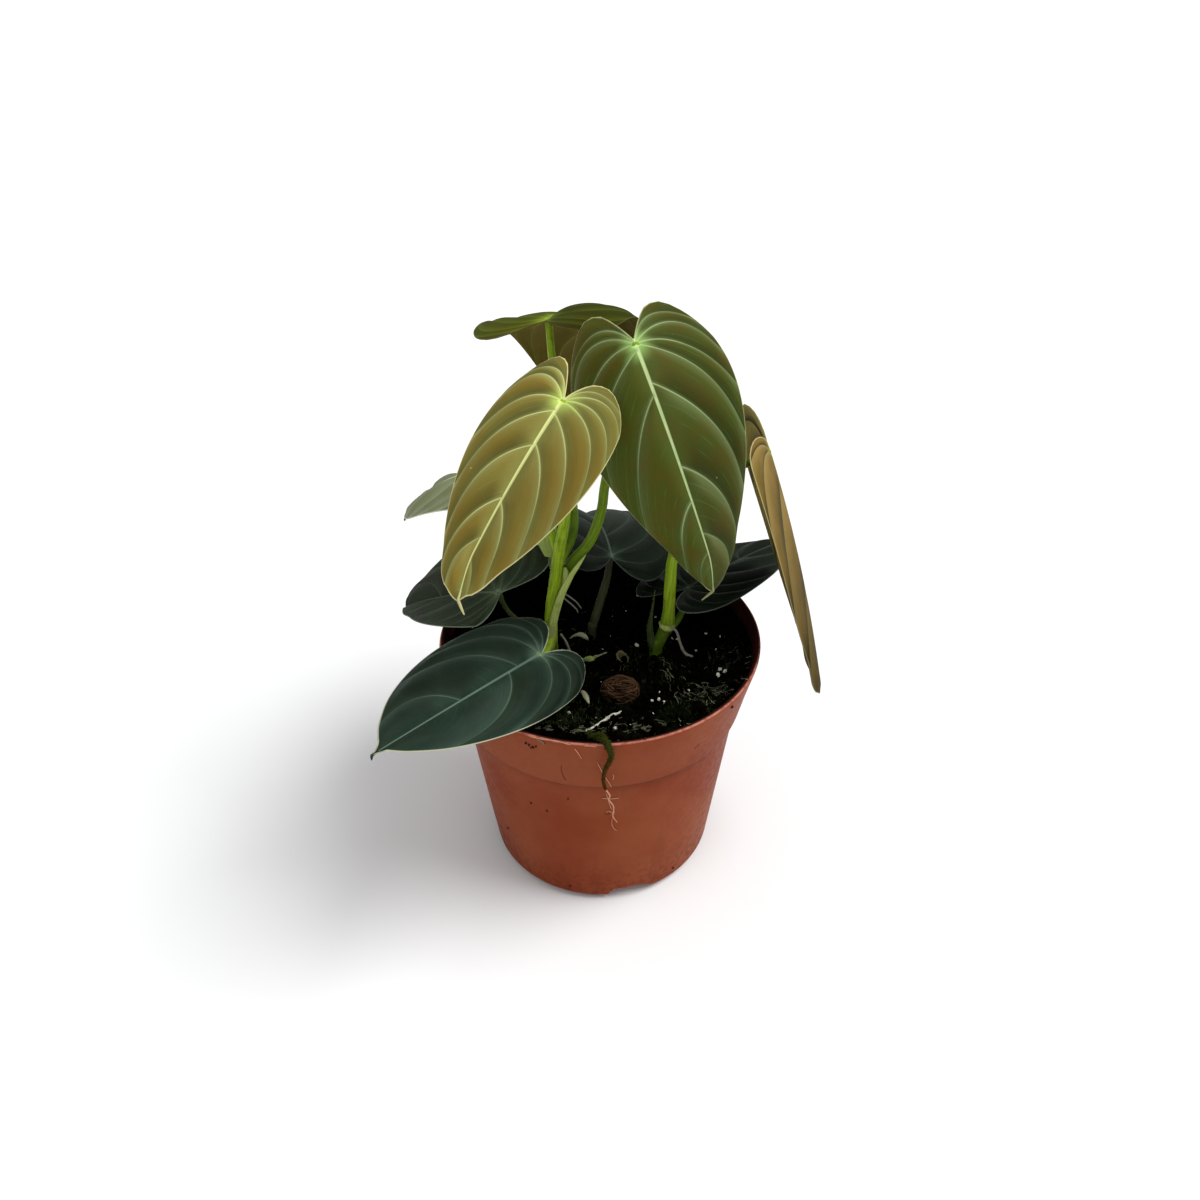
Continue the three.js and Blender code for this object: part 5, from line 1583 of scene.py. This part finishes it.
def barkShell():
    # an ellipsoid, its reach varied by lumps and by ridges that run round it
    v, u = np.meshgrid(np.linspace(0, math.pi, bark["rows"]), fullTurn(bark["around"]), indexing="ij")
    x, y, z = np.sin(v) * np.cos(u), np.sin(v) * np.sin(u), np.cos(v)
    spots = lumps(x * 3 + z * 2, y * 3 - z, 1.0, seed=31)
    ridges = lumps(x * 14 + 3 * spots, z * 4 + y * 3, 1.0, seed=32)
    grid = onBark(np.stack([x, y, z], -1), 0.78 + 0.24 * spots + 0.09 * ridges)
    # the tone follows the ridges, paler on them and darker between them: partly the coir's own colour, partly
    # painted light and shade
    return sheet(grid, around=True, flip=True, values={"tone": (0.35 + 0.3 * ridges).ravel()})


def barkFibres(random):
    # arcs of great circles on the ball, a little proud of it
    count, steps = bark["fibres"], 7
    pole = unit(random.normal(size=(count, 3)) * np.array([0.35, 1.0, 0.7]))
    first = squareTo(pole, random)
    second = np.cross(pole, first)
    turn = random.uniform(0.3, 1.0, (count, 1)) * np.linspace(-1, 1, steps)[None]
    arc = np.cos(turn)[..., None] * first[:, None] + np.sin(turn)[..., None] * second[:, None]
    lift = 0.72 + 0.36 * random.uniform(0, 1, (count, 1)) + 0.08 * np.cos(turn * 3)
    radius = random.uniform(0.12, 0.3, count)
    return strands(onBark(arc, lift), tapered(radius, steps), random.uniform(0.1, 1, count))


barkFibre = [strandMaterials["barkFibre"]]
makePiece("bark_chip_fibrous", [barkShell(), barkFibres(random)], barkFibre, "bark", "bark_chip")

# Petiole stub: the hollow foot of a stalk that was cut off

stub = {"foot": (8.5, -4.5), "radius": 2.35, "bottom": 81.6, "top": 91.2, "slant": 1.2, "hollow": 2.2,
        "around": 48}


def stubShell():
    # up the wall, over a slanting ragged lip and down into the hollow
    turn = fullTurn(stub["around"])
    ragged = 0.35 * lumps(turn * 2.2, turn * 0, 1.0, seed=41)
    lip = stub["top"] + stub["slant"] * np.cos(turn - 2.4) + ragged
    ribs = 0.05 * np.sin(turn * 9) + 0.05 * lumps(turn * 1.5, turn * 0, 1.0, seed=43)
    wall = stub["radius"] * (1 + ribs)
    level, bottom, hollow = 0 * lip, stub["bottom"], stub["hollow"]
    rows = [(0.0, level + bottom), (0.85, level + bottom)]
    rows += [(1.0, bottom + (lip - bottom) * share) for share in (0.1, 0.4, 0.7, 0.85, 0.95, 0.99)]
    rows += [(0.95, lip + 0.05), (0.86, lip), (0.8, lip - 0.3), (0.7, lip - 1.2), (0.45, lip - hollow),
             (0.0, level + stub["top"] - hollow)]
    x, y = stub["foot"]
    grid = [np.stack([x + wall * reach * np.cos(turn), y + wall * reach * np.sin(turn), height], -1)
            for reach, height in rows]
    # painted shade: darker down the wall and darkest in the hollow, pale over the lip
    shade = np.array([0.8] * 6 + [0.5, 0.2, 0, 0, 0.2, 0.8, 1, 1])
    placed = np.stack(np.meshgrid(np.linspace(0, 1, len(rows)), turn, indexing="ij")[::-1], -1)
    values = {"shade": np.repeat(shade, len(turn))}
    return sheet(np.stack(grid), around=True, map=placed.reshape(-1, 2), values=values)


dryGloss = {"Specular IOR Level": 0.3}
stubSkin = newMaterial("driedStub", dryGloss, stalkPattern, "#6a663a #8f8a58 #2c2a16 #33301a",
                       bumpDepth=0.0002)
makePiece("petiole_stub_hollow", [stubShell()], [stubSkin], "stub", "petiole_stub")

# Bits on the ground: a curled bract, a sprout and a grey flake, made as the bracts are

bits = {
    "curled_bract": {"points": [[-11.9, 7.4, 90.6], [-9.9, 7.7, 92], [-7.6, 7.8, 92.6], [-5.7, 7.4, 91.9],
                                [-4.4, 6.8, 90.4]], "widths": [0.25, 0.5, 1.2, 1.4, 0.4],
        "faces": (0.1, -0.6, 1), "wrap": 55, "shade": 0.1, "material": 0},
    "sprout": {"points": [[-6.6, -6, 90.4], [-5.4, -6.1, 91.6], [-3.6, -6.5, 92.2], [-2, -7, 91.6]],
        "widths": [0.3, 1.2, 1.6, 0.4], "faces": (0.2, -0.5, 1), "wrap": 50, "shade": 0.2, "material": 1},
    "sprout_twig": {"points": [[-3.6, -6.4, 91.6], [-1.9, -6.2, 92.6], [-0.9, -6.3, 93.4]],
        "widths": [0.4, 0.8, 0.2], "faces": (0.2, -0.5, 1), "wrap": 40, "shade": 0.2, "material": 1},
    "flake": {"points": [[-7, -23.9, 91.2], [-6.2, -25.4, 92.2], [-5, -28, 92], [-4, -30.6, 90.6]],
        "widths": [0.4, 1.1, 1.3, 0.3], "faces": (0.3, -0.4, 1), "wrap": 45, "shade": 0.2, "material": 0},
}
bitMaterials = [newMaterial(name, dryGloss, stalkPattern, colours, bumpDepth=0.0001) for name, colours in (
    ("dryBit", "#7d7f62 #a9aa8c #4a4530 #8a8b70"), ("greenBit", "#76883c #98a75a #3c4a1c #7a8a44"))]
makePiece("soil_bits", [shell for bit in bits.values() for shell in bractShells(bit)], bitMaterials, "stub")

# Soil that sticks to the pot: small crumbs and a few scuffs, at pixels of the photograph

potSpecks = [
    (526, 743), (529, 745), (533, 747), (536, 746.5), (531, 748), (531, 803), (547, 811), (568, 799),
    (570, 886), (673, 868), (508, 828), (732, 707), (605, 749), (618, 741), (645, 739),
]
potScuffs = [
    [(562, 763), (561.5, 768), (564, 776), (567, 781)], [(693, 749.5), (696, 746), (700, 742)],
    [(604, 812), (607, 814), (611, 812)],
]


def speckShell(random):  # small balls against the pot
    places = onSurface(potSpecks, 0.12)
    sizes = random.uniform(0.3, 0.55, len(places))
    return scattered(ball(2), places, sizes, random, squash=0.3, dents=0.15, tones=(0, 0.6))


makePiece("pot_specks", [speckShell(random)], barkFibre, "bark")
scuffs = seenStrands(potScuffs, random, radius=0.45, lift=-0.34)
makePiece("pot_scuffs", scuffs, [strandMaterials["scuffed"]], "pot")
print("bark, stub and bits")

# Floor

floorSettings = {"reach": 9000, "colour": "#ecedee"}


def addFloor(settings):
    corners = np.array([[-1, -1, 0], [1, -1, 0], [1, 1, 0], [-1, 1, 0]]) * float(settings["reach"])
    paint = newMaterial("paleFloor", {"Base Color": colour(settings["colour"]), "Roughness": 0.9,
                                      "Specular IOR Level": 0.1})
    floor = makeObject("floor", [{"points": corners, "faces": np.array([[0, 1, 2, 3]])}], [paint])


addFloor(floorSettings)
